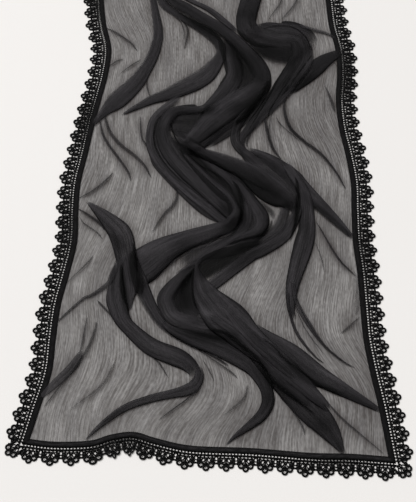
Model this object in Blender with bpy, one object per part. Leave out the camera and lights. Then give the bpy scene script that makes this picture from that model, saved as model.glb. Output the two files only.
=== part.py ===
"""Dupatta stole laid flat: a sheer chiffon panel gathered into lengthwise folds, a plain hem band
on its four sides, and a scalloped flower lace sewn round the outside.

Metres, +Z up. The stole rests on z = 0 with its near end at -Y, and its middle is the origin.
"""
import math
from collections import namedtuple

import bmesh
import bpy
from mathutils import Vector
from mathutils.geometry import delaunay_2d_cdt

# ---------------------------------------------------------------- driving sizes
MM = 0.001
CLOTH_WALL = 1.2 * MM           # one layer of chiffon
BAND_WIDTH = 11.0 * MM          # folded hem band
BAND_THICKNESS = 1.8 * MM
LACE_THICKNESS = 1.8 * MM
SEAM_GAP = 0.3 * MM             # between neighbouring pieces
SCALLOP_PITCH = 37.5 * MM       # one lace flower

# The lace flower, measured across its pitch and outward from the band
RING_RADIUS = 6.2 * MM          # a petal ring
TIP_RING_OUT = 31.2 * MM        # middle of the petal at the tip
SIDE_RING_OUT = 26.2 * MM       # middle of the two petals beside it
SIDE_RING_ACROSS = 8.6 * MM
PETAL_CLEFT_OUT = 31.6 * MM     # the dip between neighbouring petals
PETAL_CLEFT_ACROSS = 6.2 * MM
NOTCH_OUT = 21.0 * MM           # the dip between neighbouring flowers
RING_HOLE_RADIUS = 2.5 * MM     # the eyelet in the petal at the tip
RING_HOLE_SIDES = 5
TIP_PETAL_ARC = (145, 35)       # the outer part of a ring, in degrees from the across direction
SIDE_PETAL_ARC = (75, -25)

# Folds of the cloth
FOLD_STEPS = 7                  # stretches along one fold
SHOULDER = 0.72                 # where a fold's top turns down, as a share of its half width
NARROW_FOLD = 16.0 * MM         # a fold narrower than this has one crest line
END_FADE = 0.22                 # share of a fold's length over which it sinks at each end
GRID_STEP = 0.075               # plain cloth between the folds
SNAP = 1.5 * MM                 # points of neighbouring folds closer than this are one
MERGE = 0.2 * MM                # crossings of fold lines closer than this are one
TOP_FLATNESS = 4                # higher makes a fold's top flatter and its edges steeper
STRETCH_LAP = 0.2               # how far a stretch of a fold reaches past its ends, as a share

# ---------------------------------------------------------------- the seam line
EDGE_STEPS = 12                 # steps between two rows of the tables below
TANGENT_REACH = 4.0 * MM        # an edge's direction is averaged over this much either way
# Where the hem band meets the lace: the two long sides, a row every 75 mm or so
SideRow = namedtuple("SideRow", "y left right")
SIDE_ROWS = [
    SideRow(-0.905, -0.331, 0.336),
    SideRow(-0.830, -0.314, 0.325),
    SideRow(-0.755, -0.311, 0.317),
    SideRow(-0.680, -0.306, 0.316),
    SideRow(-0.605, -0.293, 0.315),
    SideRow(-0.530, -0.282, 0.311),
    SideRow(-0.455, -0.284, 0.313),
    SideRow(-0.380, -0.283, 0.316),
    SideRow(-0.305, -0.272, 0.309),
    SideRow(-0.230, -0.262, 0.299),
    SideRow(-0.155, -0.250, 0.297),
    SideRow(-0.080, -0.238, 0.304),
    SideRow(-0.005, -0.234, 0.304),
    SideRow(0.070, -0.249, 0.293),
    SideRow(0.145, -0.258, 0.290),
    SideRow(0.220, -0.263, 0.285),
    SideRow(0.295, -0.273, 0.281),
    SideRow(0.370, -0.286, 0.287),
    SideRow(0.445, -0.293, 0.300),
    SideRow(0.520, -0.291, 0.309),
    SideRow(0.595, -0.296, 0.312),
    SideRow(0.670, -0.308, 0.316),
    SideRow(0.745, -0.318, 0.326),
    SideRow(0.820, -0.324, 0.335),
    SideRow(0.895, -0.334, 0.339),
]
# The two ends, with the corners as their first and last rows
EndRow = namedtuple("EndRow", "x near far")
END_ROWS = [
    EndRow(-0.348, -0.980, 1.018),
    EndRow(-0.290, -0.987, 1.014),
    EndRow(-0.220, -0.985, 1.008),
    EndRow(-0.180, -0.973, 1.005),
    EndRow(-0.140, -0.968, 1.003),
    EndRow(-0.100, -0.980, 1.002),
    EndRow(-0.032, -0.995, 1.000),
    EndRow(0.081, -1.000, 0.993),
    EndRow(0.195, -1.010, 0.996),
    EndRow(0.270, -1.012, 0.996),
    EndRow(0.348, -1.018, 0.988),
]

# ---------------------------------------------------------------- the folds
# A fold is a flattened roll of cloth along a curve with two bends. Columns: its start, first
# bend, second bend and end in the plan, its width at the start, middle and end, and its rise.
Fold = namedtuple("Fold", "start bend1 bend2 end wide1 wide2 wide3 rise")
FOLDS = {
    # upper left: the fold that runs down to the left band, and the long tapering one
    "left_roll": Fold((-0.130, 0.175), (-0.115, 0.085), (-0.115, 0.015), (-0.135, -0.045), 12, 21, 18, 4),
    "left_sweep": Fold((-0.135, -0.030), (-0.150, -0.095), (-0.195, -0.150), (-0.255, -0.225), 18, 39, 18, 5),
    "left_dart": Fold((0.040, -0.025), (-0.005, -0.095), (-0.110, -0.130), (-0.210, -0.225), 28, 29, 2, 4),
    # the pair that comes down the middle from the far end
    "middle_roll": Fold((-0.095, 0.175), (-0.040, 0.090), (0.025, 0.060), (0.050, -0.045), 29, 45, 41, 5),
    "middle_turn": Fold((0.030, 0.010), (0.075, -0.070), (0.055, -0.130), (-0.015, -0.195), 32, 41, 22, 5),
    "middle_cord": Fold((-0.085, 0.160), (-0.020, 0.130), (0.040, 0.065), (0.090, -0.010), 7, 14, 23, 4),
    "heart_right": Fold((0.040, 0.055), (0.110, -0.015), (0.145, -0.110), (0.065, -0.200), 28, 55, 49, 6),
    "heart_low": Fold((0.135, -0.115), (0.070, -0.165), (0.035, -0.230), (-0.040, -0.290), 27, 54, 22, 6),
    # the loop left of the middle
    "loop_arch": Fold((0.015, -0.190), (-0.025, -0.185), (-0.065, -0.185), (-0.100, -0.225), 18, 27, 22, 4),
    "loop_rim": Fold((-0.050, -0.150), (-0.150, -0.195), (-0.145, -0.295), (-0.055, -0.395), 13, 27, 26, 4),
    "loop_body": Fold((-0.040, -0.205), (-0.120, -0.195), (-0.095, -0.300), (-0.015, -0.405), 31, 44, 51, 6),
    "loop_foot": Fold((-0.065, -0.370), (-0.020, -0.415), (0.015, -0.455), (0.060, -0.475), 24, 42, 34, 5),
    "loop_core": Fold((-0.050, -0.295), (-0.005, -0.325), (0.050, -0.370), (0.065, -0.455), 22, 35, 25, 4),
    "hook": Fold((-0.020, -0.345), (0.055, -0.390), (0.090, -0.480), (-0.005, -0.525), 52, 34, 27, 5),
    # lower left: the sweep from the hook, and the S that comes off the left band
    "sweep": Fold((0.040, -0.505), (-0.015, -0.515), (-0.090, -0.530), (-0.150, -0.600), 25, 42, 69, 5),
    "ess_top": Fold((-0.260, -0.425), (-0.205, -0.455), (-0.160, -0.525), (-0.160, -0.635), 2, 44, 37, 5),
    "ess_core": Fold((-0.160, -0.550), (-0.150, -0.605), (-0.150, -0.650), (-0.160, -0.700), 25, 31, 4, 3),
    "ess_side": Fold((-0.145, -0.595), (-0.125, -0.670), (-0.085, -0.730), (0.010, -0.785), 37, 24, 6, 4),
    "ess_low": Fold((-0.175, -0.580), (-0.205, -0.700), (-0.120, -0.765), (-0.025, -0.815), 45, 44, 18, 5),
    "ess_turn": Fold((-0.035, -0.800), (0.000, -0.825), (-0.005, -0.870), (-0.065, -0.875), 20, 17, 15, 4),
    "ess_tail": Fold((-0.060, -0.875), (-0.125, -0.880), (-0.170, -0.905), (-0.220, -0.965), 15, 13, 2, 3),
    "side_wisp": Fold((-0.190, -0.600), (-0.215, -0.670), (-0.250, -0.660), (-0.295, -0.725), 18, 8, 2, 3),
    "corner_wisp": Fold((-0.240, -0.760), (-0.260, -0.805), (-0.285, -0.840), (-0.320, -0.880), 2, 14, 8, 3),
    # right of the middle
    "ridge_high": Fold((0.060, -0.295), (0.140, -0.320), (0.195, -0.395), (0.305, -0.525), 17, 43, 8, 5),
    "ridge_mid": Fold((-0.015, -0.305), (0.065, -0.325), (0.145, -0.400), (0.195, -0.470), 30, 56, 29, 6),
    "ridge_down": Fold((0.190, -0.385), (0.235, -0.480), (0.175, -0.580), (0.165, -0.680), 26, 42, 20, 5),
    "leg_left": Fold((0.160, -0.660), (0.170, -0.725), (0.195, -0.775), (0.245, -0.820), 10, 6, 2, 3),
    "leg_right": Fold((0.175, -0.665), (0.190, -0.740), (0.260, -0.790), (0.320, -0.830), 8, 6, 2, 3),
    "inner_hook": Fold((0.065, -0.400), (0.105, -0.440), (0.140, -0.495), (0.040, -0.520), 26, 42, 21, 4),
    "saddle": Fold((0.175, -0.470), (0.130, -0.545), (0.045, -0.545), (-0.025, -0.620), 29, 35, 28, 5),
    "saddle_edge": Fold((0.190, -0.475), (0.155, -0.540), (0.080, -0.580), (0.015, -0.635), 13, 19, 4, 3),
    # the wide mass that runs down to the near right corner
    "claw_left": Fold((-0.005, -0.570), (-0.075, -0.605), (-0.100, -0.675), (-0.055, -0.745), 16, 37, 36, 5),
    "claw_palm": Fold((-0.050, -0.615), (-0.065, -0.645), (-0.070, -0.685), (-0.035, -0.720), 16, 44, 40, 3),
    "claw_core": Fold((-0.020, -0.570), (-0.035, -0.625), (-0.025, -0.670), (-0.015, -0.715), 8, 24, 12, 3),
    "train_main": Fold((-0.015, -0.620), (0.015, -0.675), (0.065, -0.735), (0.160, -0.810), 41, 72, 59, 6),
    "train_right": Fold((0.110, -0.770), (0.180, -0.810), (0.245, -0.875), (0.335, -0.915), 31, 51, 6, 5),
    "train_low": Fold((-0.095, -0.700), (-0.045, -0.760), (0.045, -0.760), (0.110, -0.850), 28, 39, 27, 5),
    "train_mid": Fold((-0.035, -0.685), (0.035, -0.710), (0.085, -0.775), (0.160, -0.880), 48, 52, 35, 4),
    "train_tail": Fold((0.130, -0.830), (0.190, -0.880), (0.230, -0.920), (0.250, -1.000), 39, 46, 6, 5),
    "near_hook": Fold((0.090, -0.810), (0.135, -0.865), (0.135, -0.910), (0.030, -0.990), 27, 29, 2, 4),
    # upper right
    "right_roll": Fold((0.100, 0.175), (0.080, 0.105), (0.085, 0.040), (0.145, -0.020), 48, 42, 51, 6),
    "right_lobe": Fold((0.090, 0.035), (0.155, 0.030), (0.225, 0.025), (0.210, -0.075), 51, 88, 46, 6),
    "right_fall": Fold((0.210, -0.050), (0.175, -0.120), (0.130, -0.190), (0.085, -0.280), 46, 41, 4, 5),
    "right_drip": Fold((0.200, -0.085), (0.180, -0.125), (0.165, -0.165), (0.170, -0.215), 32, 20, 11, 4),
    "right_wedge": Fold((0.305, -0.020), (0.260, -0.045), (0.220, -0.085), (0.170, -0.160), 16, 30, 20, 4),
    "right_wisp": Fold((0.210, 0.065), (0.250, 0.065), (0.280, 0.055), (0.315, 0.020), 14, 9, 5, 3),
    # the far half: the same rolls, running on and dying out
    "far_left_roll": Fold((-0.165, 0.620), (-0.150, 0.480), (-0.145, 0.330), (-0.130, 0.165), 3, 22, 12, 4),
    "far_middle_roll": Fold((-0.030, 0.660), (-0.085, 0.520), (-0.120, 0.340), (-0.095, 0.165), 6, 40, 29, 5),
    "far_middle_cord": Fold((0.040, 0.580), (-0.010, 0.450), (-0.050, 0.310), (-0.085, 0.150), 4, 26, 8, 4),
    "far_right_roll": Fold((0.150, 0.720), (0.160, 0.550), (0.065, 0.400), (0.100, 0.165), 5, 44, 48, 6),
    "far_right_sweep": Fold((0.285, 0.460), (0.210, 0.430), (0.150, 0.360), (0.110, 0.240), 4, 24, 10, 4),
    "far_left_sweep": Fold((-0.280, 0.470), (-0.220, 0.440), (-0.170, 0.380), (-0.130, 0.280), 4, 24, 12, 4),
    "far_cross": Fold((-0.100, 0.300), (-0.020, 0.400), (0.050, 0.460), (0.130, 0.600), 4, 20, 4, 3),
    "far_left_tail": Fold((-0.200, 0.930), (-0.160, 0.840), (-0.170, 0.740), (-0.110, 0.620), 2, 14, 4, 3),
    "far_middle_tail": Fold((0.000, 0.900), (0.020, 0.800), (-0.050, 0.720), (-0.030, 0.600), 2, 18, 6, 4),
    "far_right_tail": Fold((0.220, 0.900), (0.170, 0.820), (0.200, 0.740), (0.150, 0.660), 2, 16, 6, 3),
    "far_corner_wisp": Fold((0.310, 0.860), (0.270, 0.800), (0.250, 0.740), (0.235, 0.660), 2, 10, 2, 3),
}


# ---------------------------------------------------------------- curves in the plan
def smooth_through(points, steps):
    """A smooth line through the points (Catmull-Rom), with this many steps between neighbours."""
    ends = [points[0] * 2 - points[1]] + points + [points[-1] * 2 - points[-2]]
    line = []
    for a, b, c, d in zip(ends, ends[1:], ends[2:], ends[3:]):
        for i in range(steps):
            t = i / steps
            line.append(0.5 * (2 * b + (c - a) * t + (2 * a - 5 * b + 4 * c - d) * t**2
                               + (3 * b - a - 3 * c + d) * t**3))
    return line + [points[-1]]


class Edge:
    """One side of the seam line, walked with the cloth on its left."""

    def __init__(self, points):
        self.line = smooth_through([Vector(p) for p in points], EDGE_STEPS)
        self.lengths = [0.0]
        for a, b in zip(self.line, self.line[1:]):
            self.lengths.append(self.lengths[-1] + (b - a).length)
        self.length = self.lengths[-1]
        self.scallops = round(self.length / SCALLOP_PITCH)
        self.pitch = self.length / self.scallops
        self.start_way = (self.line[1] - self.line[0]).normalized()
        self.end_way = (self.line[-1] - self.line[-2]).normalized()

    def tangent(self, along):
        """The way the edge runs, averaged over a short stretch."""
        ahead, behind = self.on_line(along + TANGENT_REACH), self.on_line(along - TANGENT_REACH)
        return (ahead - behind).normalized()

    def on_line(self, along):
        """The point this far along the edge, straight on past its ends."""
        if along <= 0:
            return self.line[0] + self.start_way * along
        if along >= self.length:
            return self.line[-1] + self.end_way * (along - self.length)
        i = next(k for k in range(1, len(self.lengths)) if self.lengths[k] >= along)
        share = (along - self.lengths[i - 1]) / (self.lengths[i] - self.lengths[i - 1])
        return self.line[i - 1].lerp(self.line[i], share)

    def at(self, along, out):
        """The point this far along the edge and this far outward from it."""
        way = self.tangent(along)
        return self.on_line(along) + Vector((way.y, -way.x)) * out

    def notches(self):
        """Distances along the edge of the dips between its flowers, corners left out."""
        return [k * self.pitch for k in range(1, self.scallops)]


def seam_edges():
    """The near, right, far and left sides, walked counter-clockwise."""
    first, last = END_ROWS[0], END_ROWS[-1]
    near = [(row.x, row.near) for row in END_ROWS]
    right = [(last.x, last.near)] + [(row.right, row.y) for row in SIDE_ROWS] + [(last.x, last.far)]
    far = [(row.x, row.far) for row in reversed(END_ROWS)]
    left = [(first.x, first.far)] + [(row.left, row.y) for row in reversed(SIDE_ROWS)]
    left = left + [(first.x, first.near)]
    return {"near": Edge(near), "right": Edge(right), "far": Edge(far), "left": Edge(left)}


def edge_with_neighbours(side, edges):
    """The edge on this side, between the edge that ends at it and the one that starts from it."""
    names = list(edges)
    i = names.index(side)
    return edges[names[i - 1]], edges[side], edges[names[(i + 1) % len(names)]]


def corner_out(before, after):
    """The outward diagonal where one edge ends and the next starts, and the sine of half the corner."""
    out = (before.end_way - after.start_way).normalized()
    return out, abs(out.x * after.start_way.y - out.y * after.start_way.x)


def corner_point(before, after, inward):
    """The corner of the line that runs this far inside two neighbouring edges."""
    out, sine = corner_out(before, after)
    return after.line[0] - out * (inward / sine)


# ---------------------------------------------------------------- solids from plan outlines
def material(name, colour, roughness):
    mat = bpy.data.materials.new(name)
    mat.use_nodes = True
    shader = mat.node_tree.nodes["Principled BSDF"]
    shader.inputs["Base Color"].default_value = (*colour, 1.0)
    shader.inputs["Roughness"].default_value = roughness
    shader.inputs["Metallic"].default_value = 0.0
    mat.diffuse_color = (*colour, 1.0)
    return mat


def add_object(name, bm, mat):
    """Turn the faces outward, and put the mesh in the scene as one named object."""
    bmesh.ops.recalc_face_normals(bm, faces=bm.faces)
    mesh = bpy.data.meshes.new(name)
    bm.to_mesh(mesh)
    bm.free()
    obj = bpy.data.objects.new(name, mesh)
    obj.data.materials.append(mat)
    bpy.context.scene.collection.objects.link(obj)
    return obj


def add_plate(name, outline, holes, thickness, mat):
    """A flat plate on z = 0 with this outline and these holes."""
    bm = bmesh.new()
    for loop in [outline] + holes:
        verts = [bm.verts.new((p.x, p.y, 0.0)) for p in loop]
        for a, b in zip(verts, verts[1:] + verts[:1]):
            bm.edges.new((a, b))
    bmesh.ops.triangle_fill(bm, use_beauty=True, edges=bm.edges)
    top = bmesh.ops.extrude_face_region(bm, geom=bm.faces[:])
    lifted = [item for item in top["geom"] if isinstance(item, bmesh.types.BMVert)]
    bmesh.ops.translate(bm, verts=lifted, vec=(0.0, 0.0, thickness))
    return add_object(name, bm, mat)


# ---------------------------------------------------------------- hem bands
def add_band(side, edges, mat):
    """The hem band along one side, mitred at both corners."""
    before, edge, after = edge_with_neighbours(side, edges)
    ease_start = edge.start_way * SEAM_GAP
    ease_end = edge.end_way * SEAM_GAP
    outer = [edge.line[0] + ease_start] + [edge.at(s, 0.0) for s in edge.notches()]
    outer = outer + [edge.line[-1] - ease_end]
    inner = [corner_point(edge, after, BAND_WIDTH) - ease_end]
    inner = inner + [edge.at(s, -BAND_WIDTH) for s in reversed(edge.notches())]
    inner = inner + [corner_point(before, edge, BAND_WIDTH) + ease_start]
    return add_plate("band_" + side, outer + inner, [], BAND_THICKNESS, mat)


# ---------------------------------------------------------------- flower lace
def ring_points(across, out, first, last, count):
    """Points on a petal ring between two angles, counted from the across direction."""
    angles = [math.radians(first + (last - first) * i / (count - 1)) for i in range(count)]
    return [(across + RING_RADIUS * math.cos(a), out + RING_RADIUS * math.sin(a)) for a in angles]


def flower_outline():
    """One flower's outer edge from left to right, as (across, out) from its middle line."""
    tip = ring_points(0.0, TIP_RING_OUT, *TIP_PETAL_ARC, 3)
    right = [(PETAL_CLEFT_ACROSS, PETAL_CLEFT_OUT)]
    right += ring_points(SIDE_RING_ACROSS, SIDE_RING_OUT, *SIDE_PETAL_ARC, 2)
    left = [(-across, out) for across, out in reversed(right)]
    return left + tip + right


def eyelet_outline():
    """The eyelet in the tip petal, as (across, out)."""
    turns = [math.tau * (i / RING_HOLE_SIDES + 0.25) for i in range(RING_HOLE_SIDES)]
    return [(RING_HOLE_RADIUS * math.cos(a), TIP_RING_OUT + RING_HOLE_RADIUS * math.sin(a)) for a in turns]


def flower_on_edge(edge, number, points):
    """These flower points, set on one flower of the edge."""
    middle = (number + 0.5) * edge.pitch
    return [edge.at(middle + across, out) for across, out in points]


def flower_on_corner(before, after, points):
    """These flower points, set on the diagonal of a corner."""
    out_way, _ = corner_out(before, after)
    across_way = Vector((-out_way.y, out_way.x))
    return [after.line[0] + across_way * across + out_way * out for across, out in points]


def add_lace(side, edges, turns_corners, mat):
    """The lace along one side. The two end pieces carry the corner flowers."""
    before, edge, after = edge_with_neighbours(side, edges)
    outer, holes = [], []
    half_gap = SEAM_GAP / 2
    for k in range(edge.scallops):
        if k > 0:
            outer.append(edge.at(k * edge.pitch, NOTCH_OUT))
        outer += flower_on_edge(edge, k, flower_outline())
        holes.append(flower_on_edge(edge, k, eyelet_outline()))
    header = [edge.at(s, SEAM_GAP) for s in reversed(edge.notches())]
    if turns_corners:
        # each corner flower starts past the last notch of the neighbouring side
        past = before.length + half_gap
        start = [before.at(past, SEAM_GAP), before.at(past, NOTCH_OUT)]
        start += flower_on_corner(before, edge, flower_outline())
        start.append(edge.at(0.0, NOTCH_OUT))
        end = [edge.at(edge.length, NOTCH_OUT)] + flower_on_corner(edge, after, flower_outline())
        end += [after.at(-half_gap, NOTCH_OUT), after.at(-half_gap, SEAM_GAP)]
        holes += [flower_on_corner(before, edge, eyelet_outline())]
        holes += [flower_on_corner(edge, after, eyelet_outline())]
        header = [corner_point(edge, after, -SEAM_GAP)] + header + [corner_point(before, edge, -SEAM_GAP)]
    else:
        start = [edge.at(half_gap, SEAM_GAP), edge.at(half_gap, NOTCH_OUT)]
        end = [edge.at(edge.length - half_gap, NOTCH_OUT), edge.at(edge.length - half_gap, SEAM_GAP)]
    return add_plate("lace_" + side, start + outer + end + header, holes, LACE_THICKNESS, mat)


# ---------------------------------------------------------------- chiffon panel
class Roll:
    """One fold's curve in the plan, with its width and rise worked out along it."""

    def __init__(self, fold, steps):
        self.fold = fold
        self.steps = steps
        self.middle = [self.curve(i / steps) for i in range(steps + 1)]
        self.ways = [self.way(i / steps) for i in range(steps + 1)]
        self.halves = [self.half_width(i / steps) for i in range(steps + 1)]

    def curve(self, t):
        f = self.fold
        p, q, r, s = (Vector(v) for v in (f.start, f.bend1, f.bend2, f.end))
        return (1 - t)**3 * p + 3 * t * (1 - t)**2 * q + 3 * t**2 * (1 - t) * r + t**3 * s

    def way(self, t):
        f = self.fold
        p, q, r, s = (Vector(v) for v in (f.start, f.bend1, f.bend2, f.end))
        return ((1 - t)**2 * (q - p) + 2 * t * (1 - t) * (r - q) + t**2 * (s - r)).normalized()

    def half_width(self, t):
        f = self.fold
        bulge = 2 * f.wide2 - (f.wide1 + f.wide3) / 2
        return 0.5 * MM * ((1 - t)**2 * f.wide1 + 2 * t * (1 - t) * bulge + t**2 * f.wide3)

    def line(self, share):
        """The line that runs this share of the half width to the left of the fold's middle."""
        sides = zip(self.middle, self.ways, self.halves)
        return [m + Vector((-w.y, w.x)) * half * share for m, w, half in sides]

    def lines(self):
        """The fold's feet, and its shoulders, or one crest where it is narrow."""
        crests = [0.0] if self.fold.wide2 * MM < NARROW_FOLD else [-SHOULDER, SHOULDER]
        return [self.line(share) for share in [-1.0] + crests + [1.0]]

    def lift(self, point):
        """How far this fold lifts the cloth at a point of the plan."""
        lifted = 0.0
        for i in range(self.steps):
            a, b = self.middle[i], self.middle[i + 1]
            run = (b - a).length
            way = (b - a) / run
            along = (point - a).dot(way)
            if not -STRETCH_LAP <= along / run <= 1.0 + STRETCH_LAP:
                continue
            share = min(max(along / run, 0.0), 1.0)
            half = self.halves[i] + (self.halves[i + 1] - self.halves[i]) * share
            across = abs((point - a).x * way.y - (point - a).y * way.x) / max(half, 0.5 * MM)
            if across >= 1.0:
                continue
            t = (i + share) / self.steps
            fade = min(1.0, t / END_FADE, (1.0 - t) / END_FADE)
            lifted = max(lifted, self.fold.rise * MM * fade * (1.0 - across**TOP_FLATNESS))
        return lifted


def inside(point, outline):
    """Whether a point of the plan is inside an outline."""
    odd = False
    for a, b in zip(outline, outline[1:] + outline[:1]):
        if (a.y > point.y) != (b.y > point.y):
            odd ^= point.x < a.x + (b.x - a.x) * (point.y - a.y) / (b.y - a.y)
    return odd


def panel_outline(edges):
    """The chiffon's edge, just inside the bands."""
    inward = BAND_WIDTH + SEAM_GAP
    outline = []
    for side in edges:
        before, edge, _ = edge_with_neighbours(side, edges)
        outline.append(corner_point(before, edge, inward))
        outline += [edge.at(s, -inward) for s in edge.notches()]
    return outline


def snapped(point):
    return Vector((round(point.x / SNAP) * SNAP, round(point.y / SNAP) * SNAP))


def panel_plan(edges, rolls):
    """Points and lines of the panel in plan: its outline, the folds' lines, and a plain grid."""
    outline = panel_outline(edges)
    points = list(outline)
    lines = [(i, (i + 1) % len(outline)) for i in range(len(outline))]
    places = {}

    def place(point):
        key = (round(point.x / SNAP), round(point.y / SNAP))
        if key not in places:
            places[key] = len(points)
            points.append(snapped(point))
        return places[key]

    for roll in rolls:
        for line in roll.lines():
            numbers = [place(p) for p in line]
            lines += [(a, b) for a, b in zip(numbers, numbers[1:]) if a != b]
    x_low, x_high = min(p.x for p in outline), max(p.x for p in outline)
    y_low, y_high = min(p.y for p in outline), max(p.y for p in outline)
    for i in range(1, round((x_high - x_low) / GRID_STEP)):
        for j in range(1, round((y_high - y_low) / GRID_STEP)):
            point = Vector((x_low + i * GRID_STEP, y_low + j * GRID_STEP))
            if all(roll.lift(point) == 0.0 for roll in rolls):
                place(point)
    return outline, points, lines


def add_panel(edges, mat):
    """The chiffon: flat underneath, one wall thick, and lifted where its folds lie on it."""
    rolls = [Roll(fold, FOLD_STEPS) for fold in FOLDS.values()]
    outline, points, lines = panel_plan(edges, rolls)
    flat, _, faces, _, _, _ = delaunay_2d_cdt(points, lines, [], 0, MERGE)
    bm = bmesh.new()
    verts = []
    for point in flat:
        height = CLOTH_WALL + sum(roll.lift(point) for roll in rolls)
        verts.append(bm.verts.new((point.x, point.y, height)))
    for face in faces:
        middle = sum((flat[i] for i in face), Vector((0.0, 0.0))) / len(face)
        if inside(middle, outline):
            bm.faces.new([verts[i] for i in face])
    loose = [v for v in bm.verts if not v.link_faces]
    bmesh.ops.delete(bm, geom=loose, context="VERTS")
    rim = [e for e in bm.edges if e.is_boundary]
    wall = bmesh.ops.extrude_edge_only(bm, edges=rim)
    for item in wall["geom"]:
        if isinstance(item, bmesh.types.BMVert):
            item.co.z = 0.0
    underside = [item for item in wall["geom"] if isinstance(item, bmesh.types.BMEdge) and item.is_boundary]
    bmesh.ops.edgeloop_fill(bm, edges=underside)
    return add_object("chiffon_panel", bm, mat)


def main():
    for obj in list(bpy.data.objects):
        bpy.data.objects.remove(obj, do_unlink=True)
    chiffon = material("chiffon", (0.022, 0.021, 0.023), 0.75)
    band_cloth = material("band_cloth", (0.012, 0.012, 0.013), 0.85)
    lace_thread = material("lace_thread", (0.008, 0.008, 0.009), 0.60)
    edges = seam_edges()
    add_panel(edges, chiffon)
    for side in edges:
        add_band(side, edges, band_cloth)
        add_lace(side, edges, side in ("near", "far"), lace_thread)


main()
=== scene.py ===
"""Dupatta stole laid flat: the looks of its sheer chiffon, its hem bands and its flower lace.

Metres, +Z up. The stole rests on z = 0 with its near end at -Y, and its middle is the origin.
"""
import math
from collections import namedtuple

import bpy
import numpy as np
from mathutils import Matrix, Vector
from mathutils.bvhtree import BVHTree


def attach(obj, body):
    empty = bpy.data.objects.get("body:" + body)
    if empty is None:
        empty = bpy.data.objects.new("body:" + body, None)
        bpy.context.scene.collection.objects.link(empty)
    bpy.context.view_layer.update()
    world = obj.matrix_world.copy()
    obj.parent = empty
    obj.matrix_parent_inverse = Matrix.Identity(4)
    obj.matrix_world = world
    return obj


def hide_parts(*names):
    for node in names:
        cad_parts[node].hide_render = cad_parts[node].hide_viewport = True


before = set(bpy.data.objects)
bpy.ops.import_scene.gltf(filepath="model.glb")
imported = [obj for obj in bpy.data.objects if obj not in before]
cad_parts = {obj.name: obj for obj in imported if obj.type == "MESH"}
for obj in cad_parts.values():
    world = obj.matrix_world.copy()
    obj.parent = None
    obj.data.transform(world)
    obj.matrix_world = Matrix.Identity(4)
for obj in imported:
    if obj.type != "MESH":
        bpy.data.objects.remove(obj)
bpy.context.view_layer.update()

# ---------------------------------------------------------------- driving sizes
MM = 0.001
CLOTH_WIDE, CLOTH_LONG = 0.70, 2.00      # the finished stole inside its lace
CLOTH_LEVEL = 1.0 * MM                   # the chiffon's height where it lies flat
LAYER_GAP = 0.3 * MM                     # between a fold and what it lies on
BAND_WIDTH = 11.0 * MM
BAND_CROWN = 2.1 * MM                    # the hem band's height along its middle
TUCK = 6.0 * MM                          # how far inside the seam line the chiffon's edge ends
FLOWER_PITCH = 37.5 * MM
HALF_GAP = 0.15 * MM                     # each band and lace length stops this far short of its corner

# ---------------------------------------------------------------- the seam line
EDGE_STEPS = 12
TANGENT_REACH = 4.0 * MM
# Where the hem band meets the lace: the two long sides, a row every 75 mm or so
SideRow = namedtuple("SideRow", "y left right")
SIDE_ROWS = [SideRow(*row) for row in [
    (-0.905, -0.331, 0.336), (-0.830, -0.314, 0.325), (-0.755, -0.311, 0.317), (-0.680, -0.306, 0.316),
    (-0.605, -0.293, 0.315), (-0.530, -0.282, 0.311), (-0.455, -0.284, 0.313), (-0.380, -0.283, 0.316),
    (-0.305, -0.272, 0.309), (-0.230, -0.262, 0.299), (-0.155, -0.250, 0.297), (-0.080, -0.238, 0.304),
    (-0.005, -0.234, 0.304), (0.070, -0.249, 0.293), (0.145, -0.258, 0.290), (0.220, -0.263, 0.285),
    (0.295, -0.273, 0.281), (0.370, -0.286, 0.287), (0.445, -0.293, 0.300), (0.520, -0.291, 0.309),
    (0.595, -0.296, 0.312), (0.670, -0.308, 0.316), (0.745, -0.318, 0.326), (0.820, -0.324, 0.335),
    (0.895, -0.334, 0.339),
]]
# The two ends, with the corners as their first and last rows
EndRow = namedtuple("EndRow", "x near far")
END_ROWS = [EndRow(*row) for row in [
    (-0.348, -0.980, 1.018), (-0.290, -0.987, 1.014), (-0.220, -0.985, 1.008), (-0.180, -0.973, 1.005),
    (-0.140, -0.968, 1.003), (-0.100, -0.980, 1.002), (-0.032, -0.995, 1.000), (0.081, -1.000, 0.993),
    (0.195, -1.010, 0.996), (0.270, -1.012, 0.996), (0.348, -1.018, 0.988),
]]

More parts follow.
